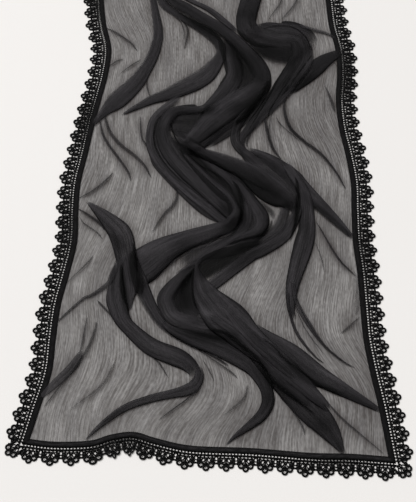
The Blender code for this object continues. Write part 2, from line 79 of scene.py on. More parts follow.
# ---------------------------------------------------------------- the folds
# A fold is a flattened roll of cloth that lies on the single layer and on the folds named before it.
# Columns: its height in mm, the layers of cloth it adds, how much of the full cloth they are, the
# share of its width over which its left and right sides thin out softly (0 is a crisp edge; left as
# seen walking down its rows), how much light its left and right sides catch, and its rows: where its
# middle runs and how wide it is, in mm.
Fold = namedtuple("Fold", "rise layers body soft_left soft_right light_left light_right rows")
FOLDS = {
    "left_sweep": Fold(3.0, 2, 1.0, 0.0, 0.15, 0.9, 1.0, [
        (-165, 620, 3), (-158, 540, 14), (-150, 430, 20), (-146, 330, 21), (-138, 240, 16), (-134, 175, 14),
        (-117, 54, 23), (-120, 5, 26), (-131, -38, 29), (-146, -73, 33), (-165, -109, 42), (-204, -158, 48),
        (-231, -192, 23), (-256, -231, 8)]),
    "left_dart": Fold(3.0, 2, 1.0, 0.0, 0.21, 0.81, 0.99, [
        (-152, 400, 3), (-128, 230, 15), (-109, 142, 23), (-78, 104, 20), (-19, 57, 26), (9, 32, 30),
        (25, 5, 24), (28, -26, 25), (2, -73, 45), (-25, -100, 50), (-61, -123, 45), (-97, -143, 34),
        (-130, -158, 25), (-191, -198, 5)]),
    "heart_bed": Fold(1.5, 1, 1.0, 0.0, 0.0, 0.5, 0.4, [
        (33, 42, 31), (55, -1, 62), (76, -44, 84), (86, -85, 95), (74, -132, 105), (47, -178, 95),
        (13, -217, 76), (-18, -251, 41)]),
    "middle_turn": Fold(4.0, 1, 1.0, 0.21, 0.0, 0.55, 0.83, [
        (37, 23, 15), (46, -1, 22), (62, -68, 37), (57, -103, 42), (40, -135, 45), (18, -166, 41),
        (-4, -186, 33), (-29, -192, 22)]),
    "loop_hollow": Fold(1.5, 1, 1.0, 0.0, 0.0, 0.45, 0.6, [
        (-106, -228, 16), (-88, -220, 56), (-69, -217, 84), (-46, -217, 95), (-24, -217, 95),
        (-4, -212, 71), (13, -200, 27)]),
    "loop_hollow_low": Fold(1.5, 1, 1.0, 0.0, 0.0, 0.6, 0.6, [
        (-79, -245, 15), (-64, -262, 40), (-46, -278, 52), (-26, -289, 43), (-9, -294, 16)]),
    "heart": Fold(5.0, 2, 1.0, 0.0, 0.21, 0.74, 0.5, [
        (-30, 660, 5), (-62, 570, 20), (-92, 450, 28), (-108, 340, 32), (-104, 240, 30), (-85, 149, 35),
        (-47, 114, 35), (28, 54, 35), (53, 29, 36), (96, -29, 42), (114, -62, 45), (122, -94, 43),
        (108, -129, 55), (47, -192, 70), (18, -220, 66), (-24, -273, 50), (-44, -294, 35),
        (-59, -316, 17)]),
    "heart_turn": Fold(1.5, 1, 1.0, 0.0, 0.21, 0.6, 0.9, [
        (131, -97, 15), (117, -120, 36), (94, -143, 53), (67, -166, 61), (11, -217, 59), (-31, -267, 40),
        (-59, -313, 12)]),
    "middle_cord": Fold(3.0, 2, 1.0, 0.0, 0.0, 1.0, 0.8, [
        (40, 580, 4), (12, 510, 13), (-22, 410, 20), (-46, 310, 18), (-58, 230, 10), (-57, 162, 9),
        (-43, 146, 12), (5, 114, 15), (51, 63, 17), (67, 42, 11)]),
    "right_roll": Fold(4.5, 2, 1.0, 0.0, 0.0, 0.7, 0.7, [
        (150, 720, 4), (152, 620, 20), (138, 520, 29), (112, 420, 35), (92, 330, 39), (94, 240, 42),
        (105, 175, 48), (92, 104, 48), (89, 73, 47), (98, 45, 53), (116, 20, 41)]),
    "right_lobe": Fold(5.0, 2, 1.0, 0.0, 0.17, 0.86, 0.33, [
        (86, 45, 30), (107, 35, 79), (130, 26, 109), (157, 14, 128), (185, 11, 138), (210, 5, 121),
        (228, -4, 83), (239, -14, 26)]),
    "right_wedge": Fold(3.0, 2, 1.0, 0.0, 0.0, 0.45, 0.6, [
        (313, -11, 14), (268, -41, 36), (244, -65, 42), (220, -91, 39), (184, -138, 12)]),
    "right_fall": Fold(4.0, 2, 1.0, 0.17, 0.0, 0.8, 0.6, [
        (195, 29, 28), (213, 5, 46), (218, -26, 51), (210, -56, 57), (174, -117, 52), (155, -149, 44),
        (88, -242, 22), (74, -267, 18), (74, -292, 16), (89, -313, 15), (108, -329, 10)]),
    "right_wisp": Fold(2.0, 2, 0.6, 0.2, 0.0, 0.9, 0.9, [
        (213, 63, 6), (229, 57, 12), (275, 42, 9), (301, 23, 6)]),
    "loop_bed": Fold(1.0, 1, 1.0, 0.0, 0.0, 0.6, 0.8, [
        (-62, -172, 26), (-91, -200, 40), (-108, -237, 46), (-112, -273, 48), (-102, -305, 52),
        (-84, -337, 59), (-2, -434, 60), (44, -477, 37), (58, -497, 14)]),
    "loop_rim": Fold(3.0, 1, 0.9, 0.35, 0.0, 0.9, 1.1, [
        (-58, -143, 11), (-83, -169, 21), (-107, -195, 23), (-122, -223, 21), (-125, -275, 22),
        (-106, -327, 23), (-69, -377, 24), (23, -470, 24), (54, -502, 9)]),
    "loop_body": Fold(5.0, 1, 1.0, 0.21, 0.0, 0.48, 0.8, [
        (13, -178, 17), (-9, -186, 23), (-33, -189, 23), (-58, -189, 25), (-78, -198, 29), (-97, -240, 33),
        (-85, -289, 44), (-50, -343, 48), (19, -421, 47), (40, -447, 44), (55, -472, 33), (58, -500, 13)]),
    "heart_low_edge": Fold(1.5, 1, 0.9, 0.0, 0.42, 0.5, 0.8, [
        (135, -126, 12), (80, -212, 23), (13, -270, 23), (-13, -286, 16)]),
    "inner_bed": Fold(1.0, 1, 1.0, 0.0, 0.0, 0.3, 0.4, [
        (-59, -262, 19), (-35, -300, 49), (-4, -335, 68), (24, -366, 77), (49, -398, 75), (66, -429, 61),
        (63, -462, 43), (50, -492, 22)]),
    "hook_bed": Fold(1.0, 1, 1.0, 0.0, 0.21, 0.6, 0.5, [
        (26, -348, 19), (49, -385, 48), (78, -449, 73), (86, -475, 85), (86, -500, 73), (67, -519, 47),
        (37, -537, 24)]),
    "inner_upper": Fold(2.5, 1, 1.0, 0.28, 0.0, 0.9, 0.5, [
        (-35, -283, 12), (0, -332, 19), (43, -377, 24), (70, -426, 24), (69, -477, 19), (58, -502, 13)]),
    "inner_lower": Fold(2.5, 1, 1.0, 0.0, 0.28, 0.5, 0.9, [
        (-52, -300, 12), (-37, -327, 17), (26, -398, 19), (45, -421, 19), (57, -447, 17), (61, -472, 17),
        (52, -495, 16), (37, -510, 12)]),
    "hook": Fold(3.5, 2, 1.0, 0.0, 0.28, 0.7, 1.0, [
        (51, -369, 14), (101, -452, 32), (111, -477, 34), (106, -502, 29), (85, -519, 21), (37, -537, 7)]),
    "hook_rim": Fold(2.5, 1, 0.9, 0.0, 0.28, 1.0, 0.8, [
        (168, -421, 17), (153, -480, 26), (138, -505, 25), (116, -524, 21), (91, -537, 17), (41, -551, 7)]),
    "fall_heel": Fold(2.5, 1, 1.0, 0.0, 0.0, 0.6, 0.8, [
        (98, -178, 10), (75, -212, 19), (62, -240, 20), (59, -270, 20), (70, -294, 20), (91, -316, 18),
        (119, -335, 8)]),
    "ridge_back": Fold(2.5, 1, 1.0, 0.0, 0.0, 1.0, 0.6, [
        (70, -297, 10), (114, -337, 55), (138, -361, 69), (160, -390, 72), (178, -421, 57), (188, -452, 30),
        (189, -482, 8)]),
    "ridge_high": Fold(4.0, 2, 1.0, 0.0, 0.24, 1.1, 0.6, [
        (83, -292, 13), (134, -324, 31), (178, -366, 42), (198, -395, 41), (262, -475, 26),
        (303, -527, 9)]),
    "ridge_mid": Fold(5.0, 2, 1.0, 0.17, 0.0, 0.84, 0.3, [
        (-52, -281, 16), (-24, -300, 24), (4, -313, 34), (56, -337, 44), (82, -353, 48), (107, -374, 62),
        (132, -400, 67), (153, -419, 59), (169, -434, 40), (181, -459, 18)]),
    "ridge_down": Fold(4.5, 2, 1.0, 0.0, 0.0, 1.12, 0.9, [
        (162, -329, 17), (180, -361, 24), (204, -416, 27), (207, -492, 35), (196, -546, 41),
        (172, -633, 28), (166, -688, 16), (171, -716, 10)]),
    "ridge_leg_left": Fold(2.0, 2, 0.8, 0.0, 0.0, 0.8, 0.8, [
        (160, -651, 8), (162, -693, 6), (176, -747, 6), (206, -794, 4), (226, -813, 2)]),
    "ridge_leg_right": Fold(2.0, 2, 0.6, 0.0, 0.0, 0.8, 0.8, [
        (171, -628, 8), (177, -675, 10), (199, -725, 11), (228, -774, 6), (263, -809, 4), (286, -822, 2)]),
    "sweep": Fold(4.0, 2, 1.0, 0.0, 0.0, 0.8, 1.1, [
        (63, -447, 17), (59, -472, 24), (42, -495, 31), (15, -505, 37), (-46, -529, 48), (-95, -556, 66),
        (-133, -590, 83), (-151, -604, 79), (-171, -619, 56)]),
    "sweep_under": Fold(2.0, 1, 0.55, 0.0, 0.42, 0.3, 0.7, [
        (38, -507, 10), (-17, -542, 17), (-37, -551, 17), (-60, -563, 19), (-102, -604, 14),
        (-136, -642, 7)]),
    "saddle_bed": Fold(1.0, 1, 0.8, 0.2, 0.0, 0.8, 0.7, [
        (-61, -590, 14), (-37, -571, 31), (-8, -556, 43), (25, -546, 53), (58, -537, 48), (121, -505, 19)]),
    "saddle": Fold(3.0, 2, 0.75, 0.21, 0.21, 1.0, 1.0, [
        (-65, -611, 7), (-18, -576, 18), (8, -551, 28), (62, -512, 25), (80, -487, 22), (84, -459, 17),
        (78, -431, 11)]),
    "under_hollow": Fold(1.5, 1, 1.0, 0.2, 0.0, 0.25, 0.25, [
        (120, -534, 12), (51, -566, 45), (4, -592, 51), (-10, -607, 39), (-28, -619, 11)]),
    "saddle_rim": Fold(3.0, 2, 1.0, 0.0, 0.21, 1.1, 0.8, [
        (192, -442, 13), (183, -467, 24), (156, -517, 31), (109, -554, 30), (86, -568, 28), (22, -623, 29),
        (4, -640, 25), (-12, -654, 9)]),
    "ess_top": Fold(4.0, 2, 0.9, 0.0, 0.0, 1.23, 0.9, [
        (-256, -431, 5), (-203, -485, 40), (-179, -522, 49), (-163, -604, 37), (-156, -647, 28),
        (-157, -665, 18), (-156, -695, 4)]),
    "ess_right": Fold(3.0, 2, 1.0, 0.0, 0.28, 1.0, 0.8, [
        (-153, -551, 8), (-152, -576, 16), (-136, -637, 31), (-112, -693, 27), (-75, -743, 17),
        (8, -796, 6), (39, -818, 4)]),
    "ess_mid": Fold(4.5, 2, 1.0, 0.0, 0.0, 0.9, 1.0, [
        (-177, -571, 21), (-184, -600, 21), (-186, -661, 38), (-180, -688, 40), (-171, -714, 34),
        (-155, -736, 31), (-112, -776, 38), (-65, -798, 41), (-43, -811, 35), (-27, -829, 26),
        (-23, -848, 19)]),
    "ess_dark": Fold(2.0, 1, 1.0, 0.21, 0.21, 0.3, 0.3, [
        (-157, -556, 12), (-152, -585, 25), (-145, -614, 29), (-140, -642, 24), (-137, -668, 8)]),
    "ess_tail": Fold(3.0, 2, 0.9, 0.0, 0.0, 0.9, 0.9, [
        (-18, -818, 10), (-17, -839, 18), (-25, -859, 24), (-42, -871, 25), (-69, -878, 19),
        (-115, -890, 17), (-160, -909, 15), (-201, -942, 10), (-231, -974, 2)]),
    "hem_wisp": Fold(2.0, 2, 0.65, 0.21, 0.0, 1.0, 1.0, [
        (-184, -585, 9), (-192, -609, 15), (-201, -633, 13), (-234, -661, 9), (-252, -670, 7),
        (-302, -723, 4)]),
    "corner_wisp": Fold(2.0, 1, 0.85, 0.0, 0.0, 1.0, 1.0, [
        (-247, -783, 6), (-256, -807, 17), (-268, -826, 19), (-299, -861, 17), (-326, -890, 6)]),
    "claw_bed": Fold(1.5, 1, 1.0, 0.0, 0.0, 0.4, 0.4, [
        (-25, -590, 13), (-41, -621, 42), (-53, -654, 57), (-50, -686, 61), (-34, -711, 47),
        (-10, -725, 26)]),
    "claw_palm": Fold(2.0, 1, 1.0, 0.0, 0.35, 0.4, 0.5, [
        (-31, -600, 8), (-45, -644, 35), (-46, -668, 42), (-40, -691, 44), (-24, -709, 35),
        (-4, -720, 18)]),
    "claw": Fold(4.0, 2, 1.0, 0.28, 0.0, 0.8, 1.1, [
        (-10, -576, 9), (-57, -623, 27), (-83, -663, 37), (-80, -686, 38), (-70, -707, 36), (-50, -720, 36),
        (4, -734, 45), (32, -745, 40), (59, -765, 22)]),
    "train_low": Fold(4.0, 2, 1.0, 0.0, 0.0, 0.7, 0.85, [
        (-92, -720, 8), (-71, -741, 19), (-22, -763, 35), (27, -781, 41), (74, -809, 40), (93, -826, 37),
        (106, -848, 32), (113, -871, 25), (115, -894, 25), (107, -915, 23), (91, -934, 20), (51, -966, 8),
        (34, -983, 2)]),
    "train_tail": Fold(3.5, 2, 0.9, 0.0, 0.0, 0.9, 0.7, [
        (82, -783, 25), (128, -835, 42), (191, -907, 57), (227, -952, 42), (254, -1003, 6)]),
    "train_right": Fold(4.0, 2, 0.95, 0.0, 0.0, 1.1, 0.6, [
        (83, -725, 17), (109, -752, 30), (161, -792, 45), (206, -835, 47), (232, -852, 38),
        (331, -915, 8)]),
    "train": Fold(5.5, 2, 1.0, 0.0, 0.0, 1.1, 0.95, [
        (-23, -583, 4), (-22, -607, 16), (-8, -654, 50), (26, -702, 82), (48, -725, 82), (85, -767, 62),
        (150, -829, 48), (214, -894, 25), (230, -917, 10)]),
    "train_strand_left": Fold(2.0, 1, 1.0, 0.0, 0.35, 0.9, 0.5, [
        (-4, -707, 13), (20, -727, 20), (67, -767, 21), (105, -816, 17), (146, -863, 17), (173, -886, 17),
        (198, -909, 12)]),
    "train_strand_mid": Fold(2.0, 1, 0.8, 0.35, 0.0, 0.6, 1.1, [
        (28, -684, 13), (52, -716, 19), (98, -778, 21), (148, -831, 17), (174, -852, 13)]),
    "far_right_sweep": Fold(3.0, 2, 0.9, 0.1, 0.3, 1.0, 0.8, [
        (285, 460, 3), (232, 435, 16), (186, 395, 22), (150, 330, 22), (118, 250, 10)]),
    "far_left_sweep": Fold(3.0, 2, 0.9, 0.2, 0.2, 1.0, 0.8, [
        (-280, 470, 3), (-238, 445, 15), (-200, 410, 22), (-165, 355, 22), (-135, 285, 10)]),
    "far_cross": Fold(3.0, 2, 0.9, 0.3, 0.1, 1.0, 0.8, [
        (-98, 300, 4), (-52, 360, 16), (5, 412, 20), (65, 480, 18), (130, 600, 4)]),
    "far_left_tail": Fold(2.5, 2, 0.8, 0.1, 0.3, 1.0, 0.8, [
        (-200, 930, 2), (-175, 860, 12), (-165, 780, 15), (-145, 700, 12), (-110, 620, 4)]),
    "far_middle_tail": Fold(3.0, 2, 0.9, 0.2, 0.2, 1.0, 0.8, [
        (0, 900, 2), (8, 830, 14), (-12, 755, 18), (-34, 680, 15), (-32, 600, 5)]),
    "far_right_tail": Fold(3.0, 2, 0.9, 0.1, 0.3, 1.0, 0.8, [
        (220, 900, 2), (192, 840, 13), (188, 770, 17), (172, 705, 14), (150, 650, 5)]),
    "far_corner_wisp": Fold(2.0, 2, 0.7, 0.2, 0.2, 1.0, 0.8, [
        (310, 860, 2), (280, 810, 9), (256, 745, 10), (235, 660, 2)]),
}
FOLD_STEP = 6.0 * MM            # between two sections of a fold, crease or valley
FEWEST_SECTIONS = 8
THINNEST_HALF = 0.5 * MM        # half the width of a fold where it is thinnest
FOLD_TOP_POINTS = 13            # points over a fold's top
FOLD_UNDER_POINTS = 4           # points under it
TOP_GAP = 0.1 * MM              # between a fold's top and its underside at its edges
CROWN = 2.4                     # 2 makes a fold's top round, more makes it flatter
LEAN = 0.30                     # how far a fold's crest leans to one side
SINK = 28.0 * MM                # a fold sinks to what it lies on over this much at each end
SINK_SHARE = 0.45               # or over this share of its length, if it is a short one
VEIL = 2.0                      # its cloth thins out at each end over this many times its width there
VEIL_SHORTEST, VEIL_LONGEST = 4.0 * MM, 45.0 * MM
HEAP_EDGE = 1.25                # what lies on a fold is down again this many half widths from its middle
HEAP_SLOPE = 0.5                # and comes down over this many
RIPPLE_WIDTH = 9.0 * MM         # small ripples that run along a fold
RIPPLE_RISE = 0.45 * MM
RIPPLE_TRAINS = 3               # each is wider and lower than the one before
RIPPLE_WIDER, RIPPLE_LOWER = 0.45, 0.5
RIPPLE_DRIFT = 0.35             # the most that they drift sideways, as a share of the way along
# How far each of these turns from fold to fold and from train to train, in radians
DRIFT_TURN, RIPPLE_TURN, LEAN_TURN = (1.7, 2.1), (1.3, 2.0), (2.4, 1.0)
FOOT_REACH = 12.0 * MM          # the cloth beside a fold rises to it over this much
FOOT_RISE = 0.5 * MM
FOOT_GATHER_AND_SHADE = 0.35              # how closely the cloth is gathered at a fold's foot, and painted darker there as contact shade
FOLD_PAINTED_SHADE = 0.65              # painted shade: how much less closely a fold's cloth is gathered where its painted light is full
PRESSED = 0.5                   # and how much more closely in a fold that adds only one layer
MOST_GATHERED = 1.4
EDGE_LIGHT = 0.45               # the light left along a fold's crisp edges
EDGE_FROM, EDGE_OVER = 0.80, 0.15    # shares of the half width: where it starts to go, and over how much
OWN_CRINKLE = (0.37, 0.61)      # each fold has its crinkle from this much further over the map, in m

# Hollows on the folds, where little light gets in, and crests, which catch more. Columns: their
# middle and reach along and across in mm, their turn in degrees, and their depth from 0 to 1, less
# than 0 for a crest.
Hollow = namedtuple("Hollow", "x y along across turn depth")
HOLLOWS = [Hollow(*row) for row in [
    (-19, 60, 67, 15, -40, 0.8), (69, -32, 44, 13, -60, 0.6), (73, -79, 40, 19, -80, 0.5),
    (124, -32, 15, 28, -50, 0.3), (67, -183, 25, 16, 45, 0.5), (7, -8, 31, 14, 90, 0.5),
    (91, -62, 61, 22, -65, 0.5), (147, -17, 60, 21, 0, 0.5), (192, -62, 21, 27, 0, 0.4),
    (172, -109, 42, 10, 60, 0.5), (110, -161, 37, 15, 50, 0.6), (-40, -223, 31, 20, 0, 0.4),
    (-26, -327, 86, 10, -50, 0.7), (115, -400, 50, 20, -40, 0.6), (187, -457, 46, 7, 85, 0.8),
    (68, -439, 45, 9, -80, 0.8), (48, -495, 27, 12, 45, 0.7), (117, -515, 27, 7, 45, 0.8),
    (53, -568, 60, 16, 30, 0.7), (-6, -607, 18, 17, 0, 0.6), (34, -457, 17, 20, 0, 0.5),
    (-58, -559, 56, 9, 30, 0.35), (-50, -539, 25, 17, 0, 0.3), (-189, -529, 32, 8, -70, 0.5),
    (-152, -580, 34, 8, 90, 0.8), (-138, -635, 23, 10, -70, 0.4), (-168, -651, 46, 5, -80, 0.9),
    (-43, -630, 30, 9, 65, 0.95), (-48, -670, 28, 16, 90, 0.6), (-2, -754, 59, 13, -10, 0.75),
    (69, -783, 40, 6, -40, 0.9), (114, -844, 27, 6, -65, 0.9), (148, -873, 43, 10, -40, 0.7),
    (178, -835, 55, 13, -40, 0.6), (238, -871, 34, 6, -25, 0.8), (217, -944, 23, 18, 0, 0.4),
    (115, -890, 25, 10, 90, 0.4), (240, -457, 44, 7, -45, 0.5), (206, -109, 37, 13, 45, 0.5),
    (2, -192, 24, 13, 35, 0.7), (18, -256, 40, 10, 50, 0.4), (94, -183, 64, 20, 55, 0.6),
    (13, -200, 77, 15, 50, -0.6), (-32, -704, 44, 11, 5, -0.7), (40, -734, 45, 15, -40, -0.4),
    (156, 32, 51, 19, -5, -0.4), (89, 98, 16, 38, 80, 0.3), (-7, 98, 67, 15, -40, -0.3),
    (88, -4, 48, 13, -55, -0.4), (-79, -267, 54, 11, -75, -0.3), (-26, -364, 61, 15, -50, -0.3),
    (116, -353, 58, 15, -35, -0.3), (88, -459, 13, 25, 0, -0.3), (-120, -556, 47, 19, 30, -0.3),
    (-179, -507, 34, 13, -60, -0.3), (-94, -783, 45, 11, -35, -0.3), (214, -822, 51, 11, -40, -0.4),
    (196, -495, 15, 23, 0, 0.35), (-131, -115, 58, 16, 60, -0.2), (-41, -109, 58, 14, 30, -0.2),
]]

# ---------------------------------------------------------------- the creases
# A crease is a pinched line in the single cloth, and a valley one between two folds. Columns: its
# width in mm, how closely the cloth beside it is gathered and painted darker as the shade of its ridge,
# and how much of the full cloth it is, both from 0 to 1, and the points it runs through, in mm.
Crease = namedtuple("Crease", "wide gather body points")
CREASES = {
    "left_long": Crease(8.0, 0.6, 0.85, [
        (-239, -214), (-233, -245), (-221, -275), (-174, -351), (-165, -380)]),
    "left_long_twin": Crease(10.5, 0.6, 0.75, [
        (-227, -192), (-226, -214), (-215, -248), (-192, -281), (-163, -308), (-138, -337), (-122, -369)]),
    "dart_foot": Crease(5.5, 0.6, 0.9, [(-151, -200), (-145, -262), (-133, -286), (-124, -311)]),
    "hem_pull_left": Crease(7.0, 0.5, 0.7, [(-243, 60), (-221, 48), (-181, 14), (-161, -14)]),
    "roll_foot": Crease(6.0, 0.4, 0.7, [(-151, -35), (-167, -50), (-200, -79)]),
    "sweep_side": Crease(5.0, 0.4, 0.7, [(-136, -91), (-138, -117), (-128, -155)]),
    "hem_pull_low": Crease(6.0, 0.4, 0.7, [(-230, -62), (-204, -41), (-192, -38)]),
    "middle_hang": Crease(7.0, 0.5, 0.8, [(-66, 88), (-54, 70), (-47, 45), (-55, -8)]),
    "middle_hang_twin": Crease(4.5, 0.3, 0.7, [(-75, 91), (-63, 73), (-56, 48), (-56, 23)]),
    "loop_drop": Crease(9.0, 0.6, 0.8, [
        (-75, -385), (-66, -408), (-68, -429), (-78, -447), (-93, -465), (-117, -510)]),
    "right_long": Crease(11.0, 0.6, 0.95, [
        (180, -132), (170, -166), (171, -200), (183, -240), (212, -275), (243, -305), (271, -348),
        (294, -400)]),
    "right_long_twin": Crease(3.5, 0.3, 0.75, [(151, -203), (161, -228), (201, -273)]),
    "right_mid": Crease(10.0, 0.6, 0.9, [(129, -183), (126, -217), (140, -289), (160, -324)]),
    "right_mid_twin": Crease(3.5, 0.4, 0.7, [(145, -189), (137, -217), (131, -273)]),
    "fall_strand": Crease(7.5, 0.6, 0.9, [(144, -149), (122, -186), (88, -262), (85, -289)]),
    "hem_to_ess": Crease(9.0, 0.8, 0.95, [(-277, -447), (-226, -487), (-215, -505)]),
    "hem_fan_high": Crease(6.5, 0.6, 0.8, [(-276, -424), (-243, -403), (-214, -372), (-204, -353)]),
    "hem_fan_low": Crease(4.0, 0.4, 0.7, [(-269, -470), (-260, -487), (-231, -510), (-218, -527)]),
    "side_short": Crease(5.5, 0.3, 0.7, [(-288, -633), (-246, -583), (-235, -563)]),
    "wisp_low": Crease(6.5, 0.5, 0.85, [(-223, -670), (-211, -686), (-162, -741)]),
    "twin_left": Crease(5.5, 0.5, 0.7, [(-241, -709), (-248, -774), (-253, -792)]),
    "twin_right": Crease(7.5, 0.5, 0.75, [
        (-221, -718), (-224, -741), (-237, -783), (-262, -829), (-313, -905)]),
    "tail_pull": Crease(6.0, 0.4, 0.5, [(-180, -805), (-204, -859), (-263, -911)]),
    "turn_pull": Crease(5.0, 0.6, 1.0, [(-12, -848), (-17, -867), (-33, -884), (-93, -932)]),
    "turn_foot": Crease(3.5, 0.2, 0.7, [(-10, -805), (6, -837), (12, -854)]),
    "ess_heel": Crease(5.5, 0.4, 0.75, [(-109, -800), (-95, -813), (-77, -844)]),
    "corner_pull": Crease(6.0, 0.5, 0.75, [(222, -886), (254, -930), (328, -1001)]),
    "right_short": Crease(5.5, 0.8, 1.0, [(226, -482), (267, -573), (301, -616)]),
    "right_side_fold": Crease(11.5, 0.2, 0.35, [(296, -602), (303, -626), (301, -679), (295, -707)]),
    "hook_gap": Crease(17.5, 0.6, 0.6, [(96, -419), (131, -457), (138, -477)]),
    "sweep_foot": Crease(10.0, 0.3, 0.3, [(-120, -633), (-80, -595), (-62, -578)]),
    "leg_line_in": Crease(3.0, 0.4, 0.8, [(171, -679), (194, -741), (227, -794)]),
    "leg_line_out": Crease(3.5, 0.5, 0.85, [
        (177, -665), (190, -704), (208, -743), (230, -776), (256, -803), (280, -820)]),
    "right_short_low": Crease(3.5, 0.2, 0.7, [(222, -532), (234, -580), (237, -609)]),
    "leg_pull": Crease(6.0, 0.5, 0.7, [(303, -709), (274, -738), (261, -747)]),
    "train_pull": Crease(5.5, 0.4, 0.65, [(147, -890), (178, -946), (181, -964)]),
    "tail_side": Crease(3.5, 0.4, 0.8, [(138, -886), (178, -934), (229, -983)]),
    "hook_pull": Crease(6.5, 0.4, 0.55, [(77, -856), (73, -878), (63, -894), (29, -924)]),
    "ess_pull": Crease(5.5, 0.4, 0.75, [(-20, -783), (43, -831), (58, -846)]),
    "top_right_fan": Crease(5.0, 0.4, 0.7, [(172, 168), (171, 136), (141, 85)]),
    "top_right_fan_low": Crease(5.0, 0.4, 0.7, [(217, 168), (206, 136), (191, 110), (171, 85)]),
    "right_hang": Crease(9.5, 0.35, 0.7, [(264, -115), (277, -166), (282, -192)]),
    "right_hang_short": Crease(3.0, 0.3, 0.7, [(284, -41), (292, -56), (303, -68)]),
    "far_left_pull": Crease(5, 0.4, 0.7, [(-270, 260), (-242, 254), (-212, 232), (-175, 185)]),
    "far_left_long": Crease(5, 0.3, 0.6, [(-255, 720), (-240, 660), (-232, 590), (-205, 520)]),
    "far_right_pull": Crease(5, 0.4, 0.7, [(275, 300), (248, 290), (220, 260), (190, 215)]),
    "far_right_long": Crease(5, 0.3, 0.6, [(270, 640), (243, 595), (222, 540), (180, 480)]),
    "far_middle_pull": Crease(4, 0.3, 0.6, [(70, 900), (82, 850), (80, 795), (95, 740)]),
    "far_hem_pull": Crease(4, 0.3, 0.6, [(-75, 975), (-82, 925), (-74, 880), (-80, 830)]),
    "far_corner_pull": Crease(4, 0.3, 0.6, [(-325, 985), (-265, 885), (-230, 840)]),
}
# The valleys, by their width and points. They gather nothing and are full cloth, painted almost black as
# the shade between two folds.
VALLEYS = {name: Crease(wide, 0.0, 1.0, points) for name, (wide, points) in {
    "train_edge_dark": (11.5, [(-4, -741), (18, -745), (41, -756), (82, -794), (111, -833), (125, -873)]),
    "claw_line": (7.5, [(-27, -590), (-31, -616), (-30, -670), (-22, -695)]),
    "claw_palm_line": (9.0, [(-27, -595), (-49, -637), (-54, -661)]),
    "ess_line": (11.5, [(-178, -590), (-174, -649), (-158, -698)]),
    "ess_under_line": (10.0, [(-155, -537), (-148, -588), (-140, -616)]),
    "valley_ridge": (10.0, [
        (-66, -275), (-52, -294), (-33, -308), (-4, -321), (56, -361), (115, -400), (145, -413)]),
    "valley_inner": (6.0, [(-35, -324), (-15, -340), (6, -353), (28, -372), (45, -393), (53, -413)]),
    "valley_loop": (9.0, [(51, -380), (64, -403), (72, -457), (58, -505), (44, -522)]),
    "valley_loop_in": (6.5, [(-82, -220), (-77, -248), (-68, -273), (-54, -294)]),
    "valley_loop_out": (5.5, [
        (-102, -200), (-115, -226), (-119, -253), (-116, -283), (-104, -316), (-82, -351), (-53, -385),
        (4, -442)]),
    "valley_hook": (10.0, [(134, -477), (129, -497), (114, -515), (66, -532), (41, -542)]),
    "valley_sweep": (5.5, [(54, -517), (-25, -546), (-52, -561), (-76, -583)]),
    "valley_lobe": (18.5, [(65, 54), (81, 29), (102, 8), (129, -1), (161, -4)]),
    "valley_lobe_edge": (5.5, [(126, 51), (156, 60), (187, 60), (212, 45), (229, 17), (235, -17)]),
    "valley_fall": (18.5, [(140, -97), (128, -129), (93, -192), (73, -217), (53, -234)]),
    "valley_strand": (5.5, [(173, -65), (123, -175), (86, -251)]),
    "valley_strand_low": (5.0, [(188, -91), (140, -183), (131, -217)]),
    "valley_wedge": (10.0, [(239, -26), (183, -120), (164, -149)]),
    "valley_right": (12.5, [(186, -374), (190, -403), (187, -465), (170, -532)]),
    "valley_train": (7.5, [(106, -761), (130, -783), (148, -805), (186, -839), (227, -869), (253, -882)]),
    "valley_tail": (10.0, [(109, -835), (142, -871), (205, -924)]),
    "valley_heart": (18.5, [(-75, 110), (-21, 66), (7, 45), (28, 20), (37, -11), (39, -44)]),
    "valley_middle": (8.0, [(37, 26), (69, -35), (82, -68)]),
}.items()}
CREASE_RISE, VALLEY_RISE = 2.0 * MM, 0.6 * MM
TAPER = 0.35                    # a crease is this much of its width at its two ends
CREASE_SOFT, VALLEY_SOFT = 0.35, 0.50
CREASE_LIGHT, VALLEY_LIGHT = 0.5, 0.05
CREASE_RIDGE = 9.0 * MM         # reach of the soft ridge that carries a crease
CREASE_RIDGE_RISE = 0.8 * MM
FIRST_CREASE, FIRST_VALLEY = 100, 200    # their numbers follow on from the folds', which start at 0

# ---------------------------------------------------------------- how the cloth lies
CLOTH_COLUMNS, CLOTH_ROWS = 111, 301     # points across and along the single cloth
ABOVE_ALL = 0.1                          # a height well over all of the cloth
# Places where the whole stole stands a little off the surface: middle and reach in metres, and height in mm
Swell = namedtuple("Swell", "x y reach_x reach_y height")
SWELLS = [Swell(*row) for row in [
    (-0.160, -0.970, 0.060, 0.055, 1.8), (-0.260, -0.215, 0.035, 0.060, 1.5),
    (0.300, -0.080, 0.035, 0.070, 1.8), (-0.285, -0.500, 0.030, 0.060, 1.0),
    (0.315, -0.560, 0.030, 0.080, 1.0), (0.240, -1.000, 0.060, 0.030, 1.5),
    (-0.240, 0.180, 0.040, 0.070, 2.5), (0.280, 0.330, 0.040, 0.080, 3.0),
    (-0.300, 0.560, 0.040, 0.070, 3.0), (0.140, 1.000, 0.060, 0.035, 4.0),
    (-0.210, 1.005, 0.050, 0.030, 3.0),
]]
